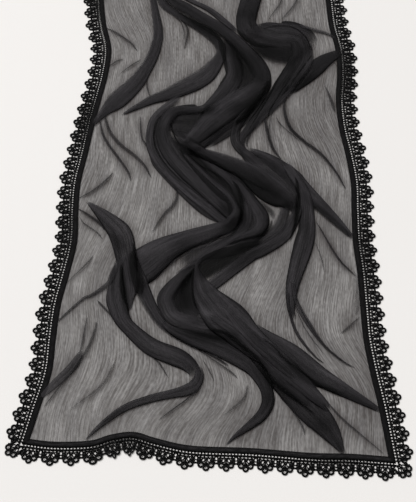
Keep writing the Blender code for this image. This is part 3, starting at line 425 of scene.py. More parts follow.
# Places where the crinkle of the cloth is pulled askew: middle, reach, and how much it slants
Pull = namedtuple("Pull", "x y reach_x reach_y slant")
PULLS = [Pull(*row) for row in [
    (-0.194, 0.070, 0.075, 0.110, -0.35), (-0.060, 0.040, 0.070, 0.090, 0.26),
    (-0.215, -0.500, 0.110, 0.230, 0.50), (-0.220, -0.825, 0.140, 0.140, 0.46),
    (0.115, -0.635, 0.100, 0.160, 0.50), (0.245, -0.265, 0.070, 0.150, -0.36),
    (0.000, -0.925, 0.150, 0.100, 0.75), (0.265, -0.670, 0.080, 0.150, -0.06),
    (0.280, -0.810, 0.090, 0.120, -0.50), (-0.150, 0.420, 0.100, 0.160, 0.35),
    (0.180, 0.480, 0.100, 0.160, -0.40), (0.000, 0.820, 0.160, 0.120, 0.25),
]]
# Soft patches of painted shade, where the cloth covers more of the floor: middle, reach, and how
# much darker it is there, from 0 to 1
ShadePatch = namedtuple("ShadePatch", "x y reach_x reach_y gather")
SHADE_PATCHES = [ShadePatch(*row) for row in [
    (0.070, -0.940, 0.170, 0.060, 0.25), (0.310, -0.850, 0.055, 0.130, 0.38),
    (0.250, -0.190, 0.060, 0.100, 0.30), (0.170, -0.265, 0.045, 0.070, 0.14),
    (0.265, -0.500, 0.045, 0.050, 0.25), (0.157, -0.610, 0.060, 0.070, 0.12),
    (-0.235, 0.350, 0.080, 0.140, 0.25), (0.210, 0.720, 0.120, 0.100, 0.30),
]]


# ---------------------------------------------------------------- curves in the plan
def unit(ways):
    return ways / np.linalg.norm(ways, axis=-1, keepdims=True)


def to_the_right(ways):
    """The ways turned a quarter clockwise, seen from above."""
    return np.stack([ways[..., 1], -ways[..., 0]], axis=-1)


def turned(x, y, degrees):
    """Two measures turned anticlockwise, seen from above."""
    c, s = math.cos(math.radians(degrees)), math.sin(math.radians(degrees))
    return c * x - s * y, s * x + c * y


def nearness(plan, place):
    """From 1 at the middle of a place to 0 well past its reach, at points of the plan."""
    across = (plan[..., 0] - place.x) / place.reach_x
    along = (plan[..., 1] - place.y) / place.reach_y
    return np.exp(-across**2 - along**2)


def swell(plan):
    """How far the stole stands off the surface at points of the plan."""
    return sum(s.height * MM * nearness(plan, s) for s in SWELLS)


def eased(share):
    share = np.clip(share, 0.0, 1.0)
    return share * share * (3.0 - 2.0 * share)


def smooth_through(points, steps):
    """A smooth line through the points (Catmull-Rom), with this many steps between neighbours."""
    points = np.array(points)
    ends = np.vstack([2 * points[:1] - points[1:2], points, 2 * points[-1:] - points[-2:-1]])
    t = np.arange(steps)[:, None] / steps
    line = []
    for a, b, c, d in zip(ends, ends[1:], ends[2:], ends[3:]):
        line.append(0.5 * (2 * b + (c - a) * t + (2 * a - 5 * b + 4 * c - d) * t**2
                           + (3 * b - a - 3 * c + d) * t**3))
    return np.vstack(line + [points[-1:]])


def lengths_along(line):
    """How far along a line each of its points lies."""
    steps = np.linalg.norm(np.diff(line, axis=0), axis=1)
    return np.concatenate([[0.0], np.cumsum(steps)])


class Edge:
    """One side of the seam line, walked with the cloth on its left."""

    def __init__(self, points):
        self.line = smooth_through(points, EDGE_STEPS)
        self.lengths = lengths_along(self.line)
        self.length = self.lengths[-1]
        self.flowers = round(self.length / FLOWER_PITCH)
        self.start_way = unit(self.line[1] - self.line[0])
        self.end_way = unit(self.line[-1] - self.line[-2])

    def on_line(self, along):
        """The points this far along the edge, straight on past its ends."""
        x, y = (np.interp(along, self.lengths, column) for column in self.line.T)
        short = np.minimum(along, 0.0)[..., None]
        past = np.maximum(along - self.length, 0.0)[..., None]
        return np.stack([x, y], axis=-1) + self.start_way * short + self.end_way * past

    def at(self, along, out):
        """The points this far along the edge and this far outward from it."""
        along, out = np.broadcast_arrays(np.asarray(along, float), np.asarray(out, float))
        way = unit(self.on_line(along + TANGENT_REACH) - self.on_line(along - TANGENT_REACH))
        return self.on_line(along) + to_the_right(way) * out[..., None]


def seam_edges():
    """The near, right, far and left sides, walked counter-clockwise."""
    first, last = END_ROWS[0], END_ROWS[-1]
    near = [(row.x, row.near) for row in END_ROWS]
    right = [(last.x, last.near)] + [(row.right, row.y) for row in SIDE_ROWS] + [(last.x, last.far)]
    far = [(row.x, row.far) for row in reversed(END_ROWS)]
    left = [(first.x, first.far)] + [(row.left, row.y) for row in reversed(SIDE_ROWS)]
    left = left + [(first.x, first.near)]
    return {"near": Edge(near), "right": Edge(right), "far": Edge(far), "left": Edge(left)}


def edge_with_neighbours(side, edges):
    """The edge on this side, between the edge that ends at it and the one that starts from it."""
    names = list(edges)
    i = names.index(side)
    return edges[names[i - 1]], edges[side], edges[names[(i + 1) % len(names)]]


def corner_out(before, after):
    """The outward diagonal where one edge ends and the next starts, and the sine of half the corner."""
    out = unit(before.end_way - after.start_way)
    return out, abs(out[0] * after.start_way[1] - out[1] * after.start_way[0])


def corner_point(before, after, inward):
    """The corner of the line that runs this far inside two neighbouring edges."""
    out, sine = corner_out(before, after)
    return after.line[0] - out * (inward / sine)


# ---------------------------------------------------------------- meshes
def place_in_scene(name, data, location=(0.0, 0.0, 0.0), degrees=(0, 0, 0)):
    """Puts an object in the scene, turned by these degrees round X, Y and Z."""
    obj = bpy.data.objects.new(name, data)
    obj.location = location
    obj.rotation_euler = [math.radians(angle) for angle in degrees]
    bpy.context.scene.collection.objects.link(obj)
    return obj


class Piece:
    """Gathers the parts of one mesh, each with points, faces, a map of its cloth, and marks."""

    def __init__(self, name):
        self.name = name
        self.points, self.faces, self.map, self.marks = [], [], [], {}
        self.count = 0

    def add(self, points, faces, cloth_map, **marks):
        points = np.asarray(points, float).reshape(-1, 3)
        for mark in sorted(set(marks) | set(self.marks)):
            earlier = self.marks.setdefault(mark, [np.zeros(self.count)])
            earlier.append(np.broadcast_to(np.asarray(marks.get(mark, 0.0), float).ravel(), len(points)))
        self.points.append(points)
        self.faces += [tuple(int(i) + self.count for i in face) for face in faces]
        self.map.append(np.asarray(cloth_map, float).reshape(-1, 2))
        self.count += len(points)

    def make(self, mat):
        mesh = bpy.data.meshes.new(self.name)
        mesh.from_pydata(np.vstack(self.points).tolist(), [], self.faces)
        mesh.polygons.foreach_set("use_smooth", [True] * len(mesh.polygons))
        corners = np.empty(len(mesh.loops), dtype=int)
        mesh.loops.foreach_get("vertex_index", corners)
        layer = mesh.uv_layers.new(name="cloth")
        layer.data.foreach_set("uv", np.vstack(self.map)[corners].ravel())
        for mark, values in self.marks.items():
            mesh.attributes.new(mark, "FLOAT", "POINT").data.foreach_set("value", np.concatenate(values))
        mesh.materials.append(mat)
        mesh.update()
        return place_in_scene(self.name, mesh)


def grid_faces(rows, columns, round_trip=False, ring=False):
    """Faces over a grid of points, row after row.

    A round trip joins the last column to the first, and a ring joins the last row to the first.
    """
    faces = []
    for r in range(rows if ring else rows - 1):
        this, after = r * columns, (r + 1) % rows * columns
        for c in range(columns if round_trip else columns - 1):
            d = (c + 1) % columns
            faces.append((this + c, this + d, after + d, after + c))
    return faces


def end_caps(rows, columns):
    """The faces that close a tube of such a grid at its first and last rows."""
    return [tuple(range(columns)), tuple(reversed(range((rows - 1) * columns, rows * columns)))]


# ---------------------------------------------------------------- chiffon
class Roll:
    """A fold along its rows: its middle line in the plan, with its way and half width along it."""

    def __init__(self, rows, soft, body, light, layers=1):
        fine = smooth_through(rows, EDGE_STEPS) * MM
        lengths = lengths_along(fine[:, :2])
        count = max(FEWEST_SECTIONS, math.ceil(lengths[-1] / FOLD_STEP))
        self.along = np.linspace(0.0, lengths[-1], count)
        x, y, wide = (np.interp(self.along, lengths, column) for column in fine.T)
        self.middle = np.column_stack([x, y])
        self.halves = np.maximum(0.5 * wide, THINNEST_HALF)
        self.ways = unit(np.gradient(self.middle, axis=0))
        self.soft, self.body, self.light, self.layers = soft, body, light, layers

    def fade(self, along):
        """From 0 at the fold's ends to 1 along its middle."""
        sink = min(SINK, SINK_SHARE * self.along[-1])
        return eased(np.minimum(along, self.along[-1] - along) / sink)

    def veil(self):
        """How much cloth is left along the fold: it thins out at both ends."""
        first, last = np.clip(VEIL * 2 * self.halves[[0, -1]], VEIL_SHORTEST, VEIL_LONGEST)
        return eased(self.along / first) * eased((self.along[-1] - self.along) / last)

    def nearest(self, plan, margin):
        """For points of the plan: distance from the fold's middle line, the half width and how far along.

        Points further off than the margin get a distance of infinity.
        """
        distance = np.full(len(plan), np.inf)
        half, along = np.ones(len(plan)), np.zeros(len(plan))
        reach = self.halves.max() + margin
        low, high = self.middle.min(axis=0) - reach, self.middle.max(axis=0) + reach
        close = np.flatnonzero(((plan > low) & (plan < high)).all(axis=1))
        if not len(close):
            return distance, half, along
        near = plan[close]
        for i in range(len(self.along) - 1):
            a, run = self.middle[i], self.middle[i + 1] - self.middle[i]
            share = np.clip((near - a) @ run / (run @ run), 0.0, 1.0)
            off = np.linalg.norm(near - a - share[:, None] * run, axis=1)
            nearer = off < distance[close]
            chosen = close[nearer]
            distance[chosen] = off[nearer]
            half[chosen] = (self.halves[i] + (self.halves[i + 1] - self.halves[i]) * share)[nearer]
            along[chosen] = (self.along[i] + (self.along[i + 1] - self.along[i]) * share)[nearer]
        return distance, half, along


def fold_roll(fold):
    return Roll(fold.rows, (fold.soft_left, fold.soft_right), fold.body,
                (fold.light_left, fold.light_right), fold.layers)


def crease_roll(crease, soft, light):
    """The narrow roll of a crease or valley, tapering to both ends."""
    shares = np.linspace(0.0, 1.0, len(crease.points))
    wide = crease.wide * (TAPER + (1.0 - TAPER) * np.sin(math.pi * shares))
    return Roll(np.column_stack([crease.points, wide]), (soft, soft), crease.body, (light, light))


class Cloth:
    """The single cloth with its creases, and the folds that lie on it, lowest first."""

    def __init__(self):
        self.folds = [fold_roll(f) for f in FOLDS.values()]
        self.rises = [f.rise * MM for f in FOLDS.values()]
        self.creases = [crease_roll(c, CREASE_SOFT, CREASE_LIGHT) for c in CREASES.values()]
        self.gathers_and_shades = [c.gather for c in CREASES.values()]
        self.valleys = [crease_roll(v, VALLEY_SOFT, VALLEY_LIGHT) for v in VALLEYS.values()]
        self.laid = None

    def single(self, plan):
        """The single cloth's height, and how closely it is gathered and painted darker as shade, at points
        of the plan.
        """
        height = CLOTH_LEVEL + swell(plan)
        gather, foot = np.zeros(len(plan)), np.zeros(len(plan))
        # Beside folds and creases the cloth covers more of the floor: partly gathered cloth, partly painted
        # shade
        for roll in self.folds:
            distance, half, along = roll.nearest(plan, 3 * FOOT_REACH)
            beside = np.exp(-np.maximum(distance - half, 0.0) / FOOT_REACH) * roll.fade(along)
            foot = np.maximum(foot, beside)
        for roll, dark in zip(self.creases, self.gathers_and_shades):
            distance, _, along = roll.nearest(plan, 3 * CREASE_RIDGE)
            beside = np.exp(-(distance / CREASE_RIDGE) ** 2) * roll.fade(along)
            height += CREASE_RIDGE_RISE * beside
            gather = np.maximum(gather, dark * beside)
        return height + FOOT_RISE * foot, np.maximum(gather, FOOT_GATHER_AND_SHADE * foot)

    def lay(self, points, faces):
        """Keeps the finished single cloth, for what lies on it."""
        self.laid = BVHTree.FromPolygons(points.tolist(), faces)

    def ground(self, plan):
        """The height of the finished single cloth at points of the plan."""
        height = CLOTH_LEVEL + swell(plan)
        for i, (x, y) in enumerate(plan.tolist()):
            hit = self.laid.ray_cast(Vector((x, y, ABOVE_ALL)), Vector((0.0, 0.0, -1.0)))[0]
            if hit:
                height[i] = hit.z
        return height

    def heap(self, plan, folds_below):
        """The height of what a fold lies on: the single cloth and the folds below it."""
        height = self.ground(plan)
        for roll, rise in zip(self.folds[:folds_below], self.rises):
            distance, half, along = roll.nearest(plan, (HEAP_EDGE - 1.0) * roll.halves.max())
            height += rise * roll.fade(along) * eased((HEAP_EDGE - distance / half) / HEAP_SLOPE)
        return height + LAYER_GAP


def cloth_plan(edges, across, along):
    """The plan of the single cloth, at shares of the way across it and along it from its near end."""
    near, right, far, left = edges.values()

    def tucked(edge, share):
        return edge.at(TUCK + share * (edge.length - 2 * TUCK), -TUCK)

    s, t = across[None, :, None], along[:, None, None]
    straight = ((1 - s) * (1 - t) * corner_point(left, near, TUCK)
                + s * (1 - t) * corner_point(near, right, TUCK)
                + s * t * corner_point(right, far, TUCK)
                + (1 - s) * t * corner_point(far, left, TUCK))
    return ((1 - t) * tucked(near, across)[None] + t * tucked(far, 1 - across)[None]
            + (1 - s) * tucked(left, 1 - along)[:, None] + s * tucked(right, along)[:, None] - straight)


def add_single_cloth(piece, cloth, edges):
    """The stole's one layer of cloth, from seam line to seam line."""
    s, t = np.linspace(0.0, 1.0, CLOTH_COLUMNS), np.linspace(0.0, 1.0, CLOTH_ROWS)
    plan = cloth_plan(edges, s, t).reshape(-1, 2)
    height, gather = cloth.single(plan)
    across, down = (grid.ravel() for grid in np.meshgrid(s * CLOTH_WIDE, t * CLOTH_LONG))
    for pull in PULLS:
        across = across - pull.slant * (plan[:, 1] - pull.y) * nearness(plan, pull)
    # Painted shade: soft patches where the cloth covers more of the floor
    for shade_patch in SHADE_PATCHES:
        gather = gather + (1.0 - gather) * shade_patch.gather * nearness(plan, shade_patch)
    points, faces = np.column_stack([plan, height]), grid_faces(CLOTH_ROWS, CLOTH_COLUMNS)
    piece.add(points, faces, np.column_stack([across, down]), gather=gather, body=1.0, light=1.0,
              single=1.0)
    cloth.lay(points, faces)


def crown(across):
    """The profile of a fold's top, from 1 along its middle to 0 at its edges."""
    return np.maximum(0.0, 1.0 - np.abs(across) ** CROWN) ** (1.0 / CROWN)


def phase(turn, number, train=1):
    """A phase in radians of its own for each fold, by its number, and for each train of ripples."""
    return turn[0] * number + turn[1] * train


def ripples(across, along, number):
    """Small ripples that run along a fold, in trains that cross each other at a slant."""
    height = 0.0
    for k in range(RIPPLE_TRAINS):
        wave = RIPPLE_WIDTH * (1.0 + RIPPLE_WIDER * k)
        drift = RIPPLE_DRIFT * math.sin(phase(DRIFT_TURN, number, k)) * along
        turns = math.tau * (across + drift) / wave + phase(RIPPLE_TURN, number, k)
        height = height + np.sin(turns) / (1.0 + RIPPLE_LOWER * k)
    return height


def fold_body(roll, across):
    """How much cloth there is over a fold: it thins out at its ends and over its soft sides."""
    sides = np.ones_like(across)
    for way, share in zip((1.0, -1.0), roll.soft):
        if share:
            sides = sides * eased((1.0 - way * across) / (2 * share))
    return roll.body * roll.veil()[:, None] * sides


def fold_light(roll, across, plan):
    """The light on a fold, from side to side, less along its crisp edges and in the hollows."""
    leftward = 0.5 * (1.0 + across)
    light = roll.light[1] * (1.0 - leftward) + roll.light[0] * leftward
    for way, share in zip((1.0, -1.0), roll.soft):
        if not share:
            light = light * (1.0 - (1.0 - EDGE_LIGHT) * eased((way * across - EDGE_FROM) / EDGE_OVER))
    for h in HOLLOWS:
        off = plan - np.array([h.x, h.y]) * MM
        along, aside = turned(off[..., 0], off[..., 1], -h.turn)
        light = light * (1.0 - h.depth * np.exp(-(along / (h.along * MM)) ** 2
                                                - (aside / (h.across * MM)) ** 2))
    return light


def add_roll(piece, cloth, roll, rise, folds_below, number):
    """A flattened roll of cloth: domed and rippled on top, and flat below where it has two layers."""
    across = np.sin(np.linspace(-math.pi / 2, math.pi / 2, FOLD_TOP_POINTS))
    if roll.layers == 2:
        under = np.sin(np.linspace(math.pi / 2, -math.pi / 2, FOLD_UNDER_POINTS + 2))[1:-1]
        across = np.concatenate([across, under])
    is_top = np.arange(across.size)[None, :] < FOLD_TOP_POINTS
    across, half, along = across[None, :], roll.halves[:, None], roll.along[:, None]
    plan = roll.middle[:, None] - to_the_right(roll.ways)[:, None] * (across * half)[..., None]
    lean = LEAN * math.sin(phase(LEAN_TURN, number))
    dome = rise * crown(across + lean * (1.0 - across**2))
    ripple = RIPPLE_RISE * ripples(across * half, along, number) * (1.0 - across**2)
    lift = np.maximum(roll.fade(along) * (dome + ripple) * is_top, 0.0)
    height = cloth.heap(plan.reshape(-1, 2), folds_below).reshape(lift.shape) + lift + TOP_GAP * is_top
    light = fold_light(roll, across, plan)
    # Painted shade: a fold's cloth covers more of the floor where its painted light is low
    gather = np.clip(1.0 - FOLD_PAINTED_SHADE * light + PRESSED * (roll.layers == 1), 0.0, MOST_GATHERED)
    gauge = np.sqrt(half * roll.halves.max())
    own_across, own_along = OWN_CRINKLE[0] * number, OWN_CRINKLE[1] * number
    cloth_map = np.stack(np.broadcast_arrays(own_across + across * gauge, own_along + along), axis=-1)
    piece.add(np.concatenate([plan, height[..., None]], axis=-1),
              grid_faces(*lift.shape, round_trip=roll.layers == 2), cloth_map,
              gather=gather, body=fold_body(roll, across), light=light)


def make_chiffon(edges, mat):
    """The chiffon: its single layer, the folds on it, and its creases and valleys."""
    cloth = Cloth()
    piece = Piece("chiffon")
    add_single_cloth(piece, cloth, edges)
    for i, (roll, rise) in enumerate(zip(cloth.folds, cloth.rises)):
        add_roll(piece, cloth, roll, rise, i, i)
    for i, roll in enumerate(cloth.creases):
        add_roll(piece, cloth, roll, CREASE_RISE, 0, FIRST_CREASE + i)
    for i, roll in enumerate(cloth.valleys):
        add_roll(piece, cloth, roll, VALLEY_RISE, len(cloth.folds), FIRST_VALLEY + i)
    return piece.make(mat)


# ---------------------------------------------------------------- hem bands
BAND_STEP = 6.0 * MM
# The band's section: how far inward from the seam line, and how high, in mm
BandPoint = namedtuple("BandPoint", "inward high")
BAND_SECTION = [BandPoint(*row) for row in (
    (0.0, 0.0), (0.0, 1.3), (0.7, 1.8), (2.4, 1.95), (5.5, 2.1), (8.6, 1.95), (10.4, 1.75),
    (11.0, 1.2), (11.0, 0.0))]
# How strong the painted highlight along a band's crown is: the sides lie edge on to the light
BAND_CATCH = {"near": 1.0, "far": 1.0, "left": 0.35, "right": 0.35}
STITCH_LONG, STITCH_APART, STITCH_WIDE = 2.6 * MM, 3.4 * MM, 0.5 * MM
STITCH_ROWS = (1.7 * MM, 9.3 * MM)       # inward from the seam line
STITCH_LEVEL = BAND_CROWN - 0.25 * MM
# A stitch's sections: where along it and half how wide, as shares of its length and width, and how
# high in mm. A section has three points across it, each with a rise of its own over that, in mm.
StitchSection = namedtuple("StitchSection", "along half rise")
STITCH = [StitchSection(*row) for row in (
    (-0.5, 0.15, -0.2), (-0.3, 0.5, 0.25), (0.3, 0.5, 0.25), (0.5, 0.15, -0.2))]
STITCH_ROUND = {-1.0: -0.1, 0.0: 0.12, 1.0: -0.1}


def mitred(side, edges, inward, count):
    """Points along a line this far inside the seam line, from mitre to mitre, and how far along."""
    before, edge, after = edge_with_neighbours(side, edges)
    start, end = corner_point(before, edge, inward), corner_point(edge, after, inward)
    from_start = (start - edge.line[0]) @ edge.start_way
    to_end = (edge.line[-1] - end) @ edge.end_way
    along = np.linspace(from_start, edge.length - to_end, count)
    line = edge.at(along, -inward)
    line[0] = start + edge.start_way * HALF_GAP
    line[-1] = end - edge.end_way * HALF_GAP
    return line, along


def make_band(side, edges, mat):
    """One hem band: a folded strip with a soft crown."""
    piece = Piece("hem_band_" + side)
    count, width = math.ceil(edges[side].length / BAND_STEP), len(BAND_SECTION)
    rows, maps = [], []
    for point in BAND_SECTION:
        line, along = mitred(side, edges, point.inward * MM, count)
        rows.append(np.column_stack([line, point.high * MM + swell(line)]))
        maps.append(np.column_stack([np.full(count, point.inward * MM), along]))
    cloth_map = np.stack(maps, axis=1)
    # Painted highlight along the band's crown, carried by the crown mark
    catch = np.sin(cloth_map[..., 0] / BAND_WIDTH * math.pi) ** 2 * BAND_CATCH[side]
    faces = grid_faces(count, width, round_trip=True) + end_caps(count, width)
    piece.add(np.stack(rows, axis=1), faces, cloth_map, crown=catch)
    return piece.make(mat)


def make_stitches(side, edges, mat):
    """The two rows of topstitching on a band, one small thread for each stitch."""
    piece = Piece("topstitch_" + side)
    edge = edges[side]
    count = int((edge.length - 3 * BAND_WIDTH) / STITCH_APART)
    middles = (edge.length - (count - 1) * STITCH_APART) / 2 + np.arange(count) * STITCH_APART
    each = len(STITCH) * len(STITCH_ROUND)
    one = grid_faces(len(STITCH), len(STITCH_ROUND))
    faces = [tuple(each * k + i for i in face) for k in range(count) for face in one]
    for inward in STITCH_ROWS:
        points = []
        for section in STITCH:
            for way, rounded in STITCH_ROUND.items():
                plan = edge.at(middles + section.along * STITCH_LONG,
                               -inward + way * section.half * STITCH_WIDE)
                height = STITCH_LEVEL + (section.rise + rounded) * MM + swell(plan)
                points.append(np.column_stack([plan, height]))
        piece.add(np.stack(points, axis=1), faces, np.zeros((count * each, 2)))
    return piece.make(mat)


# ---------------------------------------------------------------- flower lace
# Everything below is measured in mm from the flower's middle line and outward from the seam line.
Ring = namedtuple("Ring", "x y half_x half_y turn cord")      # a corded loop round a hole
Pad = namedtuple("Pad", "x y half_x half_y turn high")        # a filled, domed shape
Bar = namedtuple("Bar", "x1 y1 x2 y2 cord")                   # a thread bar


def both_sides(rows):
    """Each row, followed by its mirror image on the other side of the flower's middle line."""
    pairs = []
    for row in rows:
        sideways = [column for column in ("x", "x1", "x2", "turn") if column in row._fields]
        pairs += [row, row._replace(**{column: -getattr(row, column) for column in sideways})]
    return pairs


PETALS = [Ring(0.0, 31.1, 4.5, 4.5, 0, 1.95)] + both_sides([Ring(9.1, 25.2, 4.5, 4.5, 0, 1.95)])
LEAVES = both_sides([Ring(5.2, 15.6, 2.7, 3.9, -18, 1.15)])
PADS = [Pad(0.0, 22.2, 3.6, 3.6, 0, 2.2)] + both_sides([
    Pad(12.2, 15.2, 3.6, 4.8, 8, 1.8),
    Pad(7.2, 20.6, 2.6, 1.6, 20, 1.6),
    Pad(14.2, 21.0, 2.4, 2.0, 0, 1.6),
])
BARS = [Bar(-14.8, 11.0, 14.8, 11.0, 1.0), Bar(0.0, 10.6, 0.0, 19.6, 1.3), Bar(0.0, 24.6, 0.0, 27.4, 1.6)]
BARS += both_sides([
    Bar(3.6, 7.0, 3.8, 12.0, 1.5),
    Bar(10.8, 7.0, 11.2, 12.0, 1.9),
    Bar(3.2, 23.2, 5.6, 24.2, 1.3),
    Bar(16.1, 7.0, 15.9, 21.4, 1.15),
    Bar(14.8, 8.5, 18.75, 8.5, 1.1),
    Bar(14.8, 15.6, 18.75, 15.6, 1.0),
    Bar(14.8, 21.2, 18.75, 21.2, 1.3),
])
KNOTS = [Pad(18.5, 22.2, 1.2, 1.2, 0, 1.5)] + both_sides([Pad(16.2, 22.6, 1.4, 1.4, 0, 1.5)])
CORNER_REACH = 12.0             # a corner flower has no bars that reach further sideways than this
LACE_LEVEL = 0.15               # the lace's underside
BAR_LEVEL = LACE_LEVEL + 0.1
CORD_HEIGHT = 1.10              # a cord's height as a share of its width, with a flat underside
RING_POINTS, PAD_POINTS, PAD_ROWS = 18, 14, 4
PAD_TOP = 0.02                  # the flat top of a pad as a share of its width
CORD_SECTION = [(-1.0, 0.0), (-0.92, 0.55), (-0.45, 0.95), (0.45, 0.95), (0.92, 0.55), (1.0, 0.0)]
WEB_HALF, WEB_LEVEL = 0.20, LACE_LEVEL + 0.5     # the two threads that cross a petal's hole
WEB_TURNS = (50, 130)
# The ladder heading: two cords beside the band, and a rung every sixth of a flower between them
LADDER_INNER, LADDER_OUTER = (0.8, 0.55), (5.8, 1.90)    # outward, and half width
RUNGS_TO_A_FLOWER = 6
RUNG_HALF = 1.35
HEADING_STEP = 5.0 * MM


def cord(path, half, level, closed=False):
    """A cord of half-round section along a path in the plan: its points, faces and map."""
    path, section = np.array(path, float), np.array(CORD_SECTION)
    if closed:
        ways = np.roll(path, -1, axis=0) - np.roll(path, 1, axis=0)
    else:
        ways = np.gradient(path, axis=0)
    around = section[:, 0] * half
    plan = path[:, None] + to_the_right(unit(ways))[:, None] * around[None, :, None]
    high = level + section[:, 1] * half * CORD_HEIGHT + np.zeros(plan.shape[:2])
    points = np.concatenate([plan, high[..., None]], axis=-1)
    faces = grid_faces(*high.shape, round_trip=True, ring=closed)
    if not closed:
        faces += end_caps(*high.shape)
    cloth_map = np.stack(np.meshgrid(lengths_along(path), around, indexing="ij"), axis=-1)
    return points.reshape(-1, 3), faces, cloth_map.reshape(-1, 2)


def oval(shape, count, share=1.0):
    """Points round a ring or pad, or round this share of it."""
    angle = np.arange(count) / count * math.tau
    x, y = turned(shape.half_x * share * np.cos(angle), shape.half_y * share * np.sin(angle), shape.turn)
    return np.column_stack([shape.x + x, shape.y + y])


def petal_web(ring):
    """The two threads that cross a petal's hole."""
    threads = []
    for angle in WEB_TURNS:
        x, y = turned(ring.half_x, 0.0, angle)
        threads.append(cord([(ring.x - x, ring.y - y), (ring.x + x, ring.y + y)], WEB_HALF, WEB_LEVEL))
    return threads


def domed_pad(pad):
    """A domed pad of satin stitch: its points, faces and map."""
    rows = []
    for angle in np.linspace(0.0, math.pi / 2, PAD_ROWS):
        ring = oval(pad, PAD_POINTS, max(math.cos(angle), PAD_TOP))
        rows.append(np.column_stack([ring, np.full(PAD_POINTS, LACE_LEVEL + pad.high * math.sin(angle))]))
    points = np.vstack(rows)
    caps = [cap[::-1] for cap in end_caps(PAD_ROWS, PAD_POINTS)]
    return points, grid_faces(PAD_ROWS, PAD_POINTS, round_trip=True) + caps, points[:, [1, 0]]


def flower_parts(in_row):
    """One lace flower, as a list of parts. A corner flower leaves out what joins its neighbours."""
    parts = [cord(oval(r, RING_POINTS), r.cord, LACE_LEVEL, closed=True) for r in PETALS + LEAVES]
    for ring in PETALS:
        parts += petal_web(ring)
    parts += [domed_pad(pad) for pad in PADS + (KNOTS if in_row else [])]
    for bar in BARS:
        if in_row or max(abs(bar.x1), abs(bar.x2)) < CORNER_REACH:
            parts.append(cord([(bar.x1, bar.y1), (bar.x2, bar.y2)], bar.cord, BAR_LEVEL))
    return parts


def add_parts(piece, parts, place):
    """Adds parts in mm, set down by a function from (across, out) in metres to the plan."""
    for points, faces, cloth_map in parts:
        plan = place(points[:, 0] * MM, points[:, 1] * MM)
        piece.add(np.column_stack([plan, points[:, 2] * MM + swell(plan)]), faces, cloth_map * MM)


def heading_path(side, edges, out, turns_corners):
    """The line of a heading cord this far outward, with the corners where the lace turns them."""
    before, edge, after = edge_with_neighbours(side, edges)
    count = math.ceil(edge.length / HEADING_STEP)
    if not turns_corners:
        return edge.at(np.linspace(HALF_GAP, edge.length - HALF_GAP, count), out)
    line = edge.at(np.linspace(0.0, edge.length, count), out)
    start = [before.at(before.length + HALF_GAP, out), corner_point(before, edge, -out)]
    end = [corner_point(edge, after, -out), after.at(-HALF_GAP, out)]
    return np.vstack([start, line, end])


def add_heading(piece, side, edges, turns_corners):
    """The ladder: two cords along the band, and the rungs between them."""
    edge = edges[side]
    for out, half in (LADDER_INNER, LADDER_OUTER):
        path = heading_path(side, edges, out * MM, turns_corners) / MM
        add_parts(piece, [cord(path, half, LACE_LEVEL)], lambda x, y: np.column_stack([x, y]))
    rungs = edge.flowers * RUNGS_TO_A_FLOWER
    rung = cord([(0.0, LADDER_INNER[0]), (0.0, LADDER_OUTER[0])], RUNG_HALF, LACE_LEVEL)
    for k in range(rungs):
        middle = (k + 0.5) * edge.length / rungs
        add_parts(piece, [rung], lambda across, out, m=middle: edge.at(m + across, out))


def make_lace(side, edges, mat):
    """The lace along one side. The two end pieces carry the corner flowers."""
    before, edge, after = edge_with_neighbours(side, edges)
    turns_corners = side in ("near", "far")
    piece = Piece("flower_lace_" + side)
    add_heading(piece, side, edges, turns_corners)
    parts = flower_parts(in_row=True)
    pitch = edge.length / edge.flowers
    stretch = pitch / FLOWER_PITCH
    for k in range(edge.flowers):
        middle = (k + 0.5) * pitch
        add_parts(piece, parts, lambda across, out, m=middle: edge.at(m + across * stretch, out))
    for first, second in ((before, edge), (edge, after)) if turns_corners else ():
        corner, outward = second.line[0], corner_out(first, second)[0]
        add_parts(piece, flower_parts(in_row=False),
                  lambda across, out, c=corner, o=outward:
                  c - to_the_right(o) * across[:, None] + o * out[:, None])
    return piece.make(mat)


# ---------------------------------------------------------------- finishes
def group(name, inputs, outputs):
    """An empty shader node group: its inputs have a kind and a value, and each output is a number."""
    tree = bpy.data.node_groups.new(name, "ShaderNodeTree")
    for label, kind, value in inputs:
        socket = tree.interface.new_socket(label, in_out="INPUT", socket_type=kind)
        if value is not None:
            socket.default_value = value
    for label in outputs:
        tree.interface.new_socket(label, in_out="OUTPUT", socket_type="NodeSocketFloat")
    return tree, tree.nodes.new("NodeGroupInput"), tree.nodes.new("NodeGroupOutput")


def wire(tree, value, socket):
    """Puts a link or a plain value into a socket."""
    if isinstance(value, bpy.types.NodeSocket):
        tree.links.new(value, socket)
    else:
        socket.default_value = value


def maths(tree, operation, first, second=0.0):
    node = tree.nodes.new("ShaderNodeMath")
    node.operation = operation
    wire(tree, first, node.inputs[0])
    wire(tree, second, node.inputs[1])
    return node.outputs[0]


def times(tree, first, *others):
    for other in others:
        first = maths(tree, "MULTIPLY", first, other)
    return first


def plus(tree, first, *others):
    for other in others:
        first = maths(tree, "ADD", first, other)
    return first


def spread(tree, value, low, high, new_low, new_high):
    """A value taken from one range to another, kept inside it."""
    node = tree.nodes.new("ShaderNodeMapRange")
    for socket, number in zip(node.inputs[1:5], (low, high, new_low, new_high)):
        socket.default_value = number
    tree.links.new(value, node.inputs[0])
    return node.outputs[0]


def blend(tree, share, first, second):
    """A colour between two colours."""
    node = tree.nodes.new("ShaderNodeMix")
    node.data_type = "RGBA"
    wire(tree, share, node.inputs["Factor"])
    wire(tree, first, node.inputs["A"])
    wire(tree, second, node.inputs["B"])
    return node.outputs["Result"]


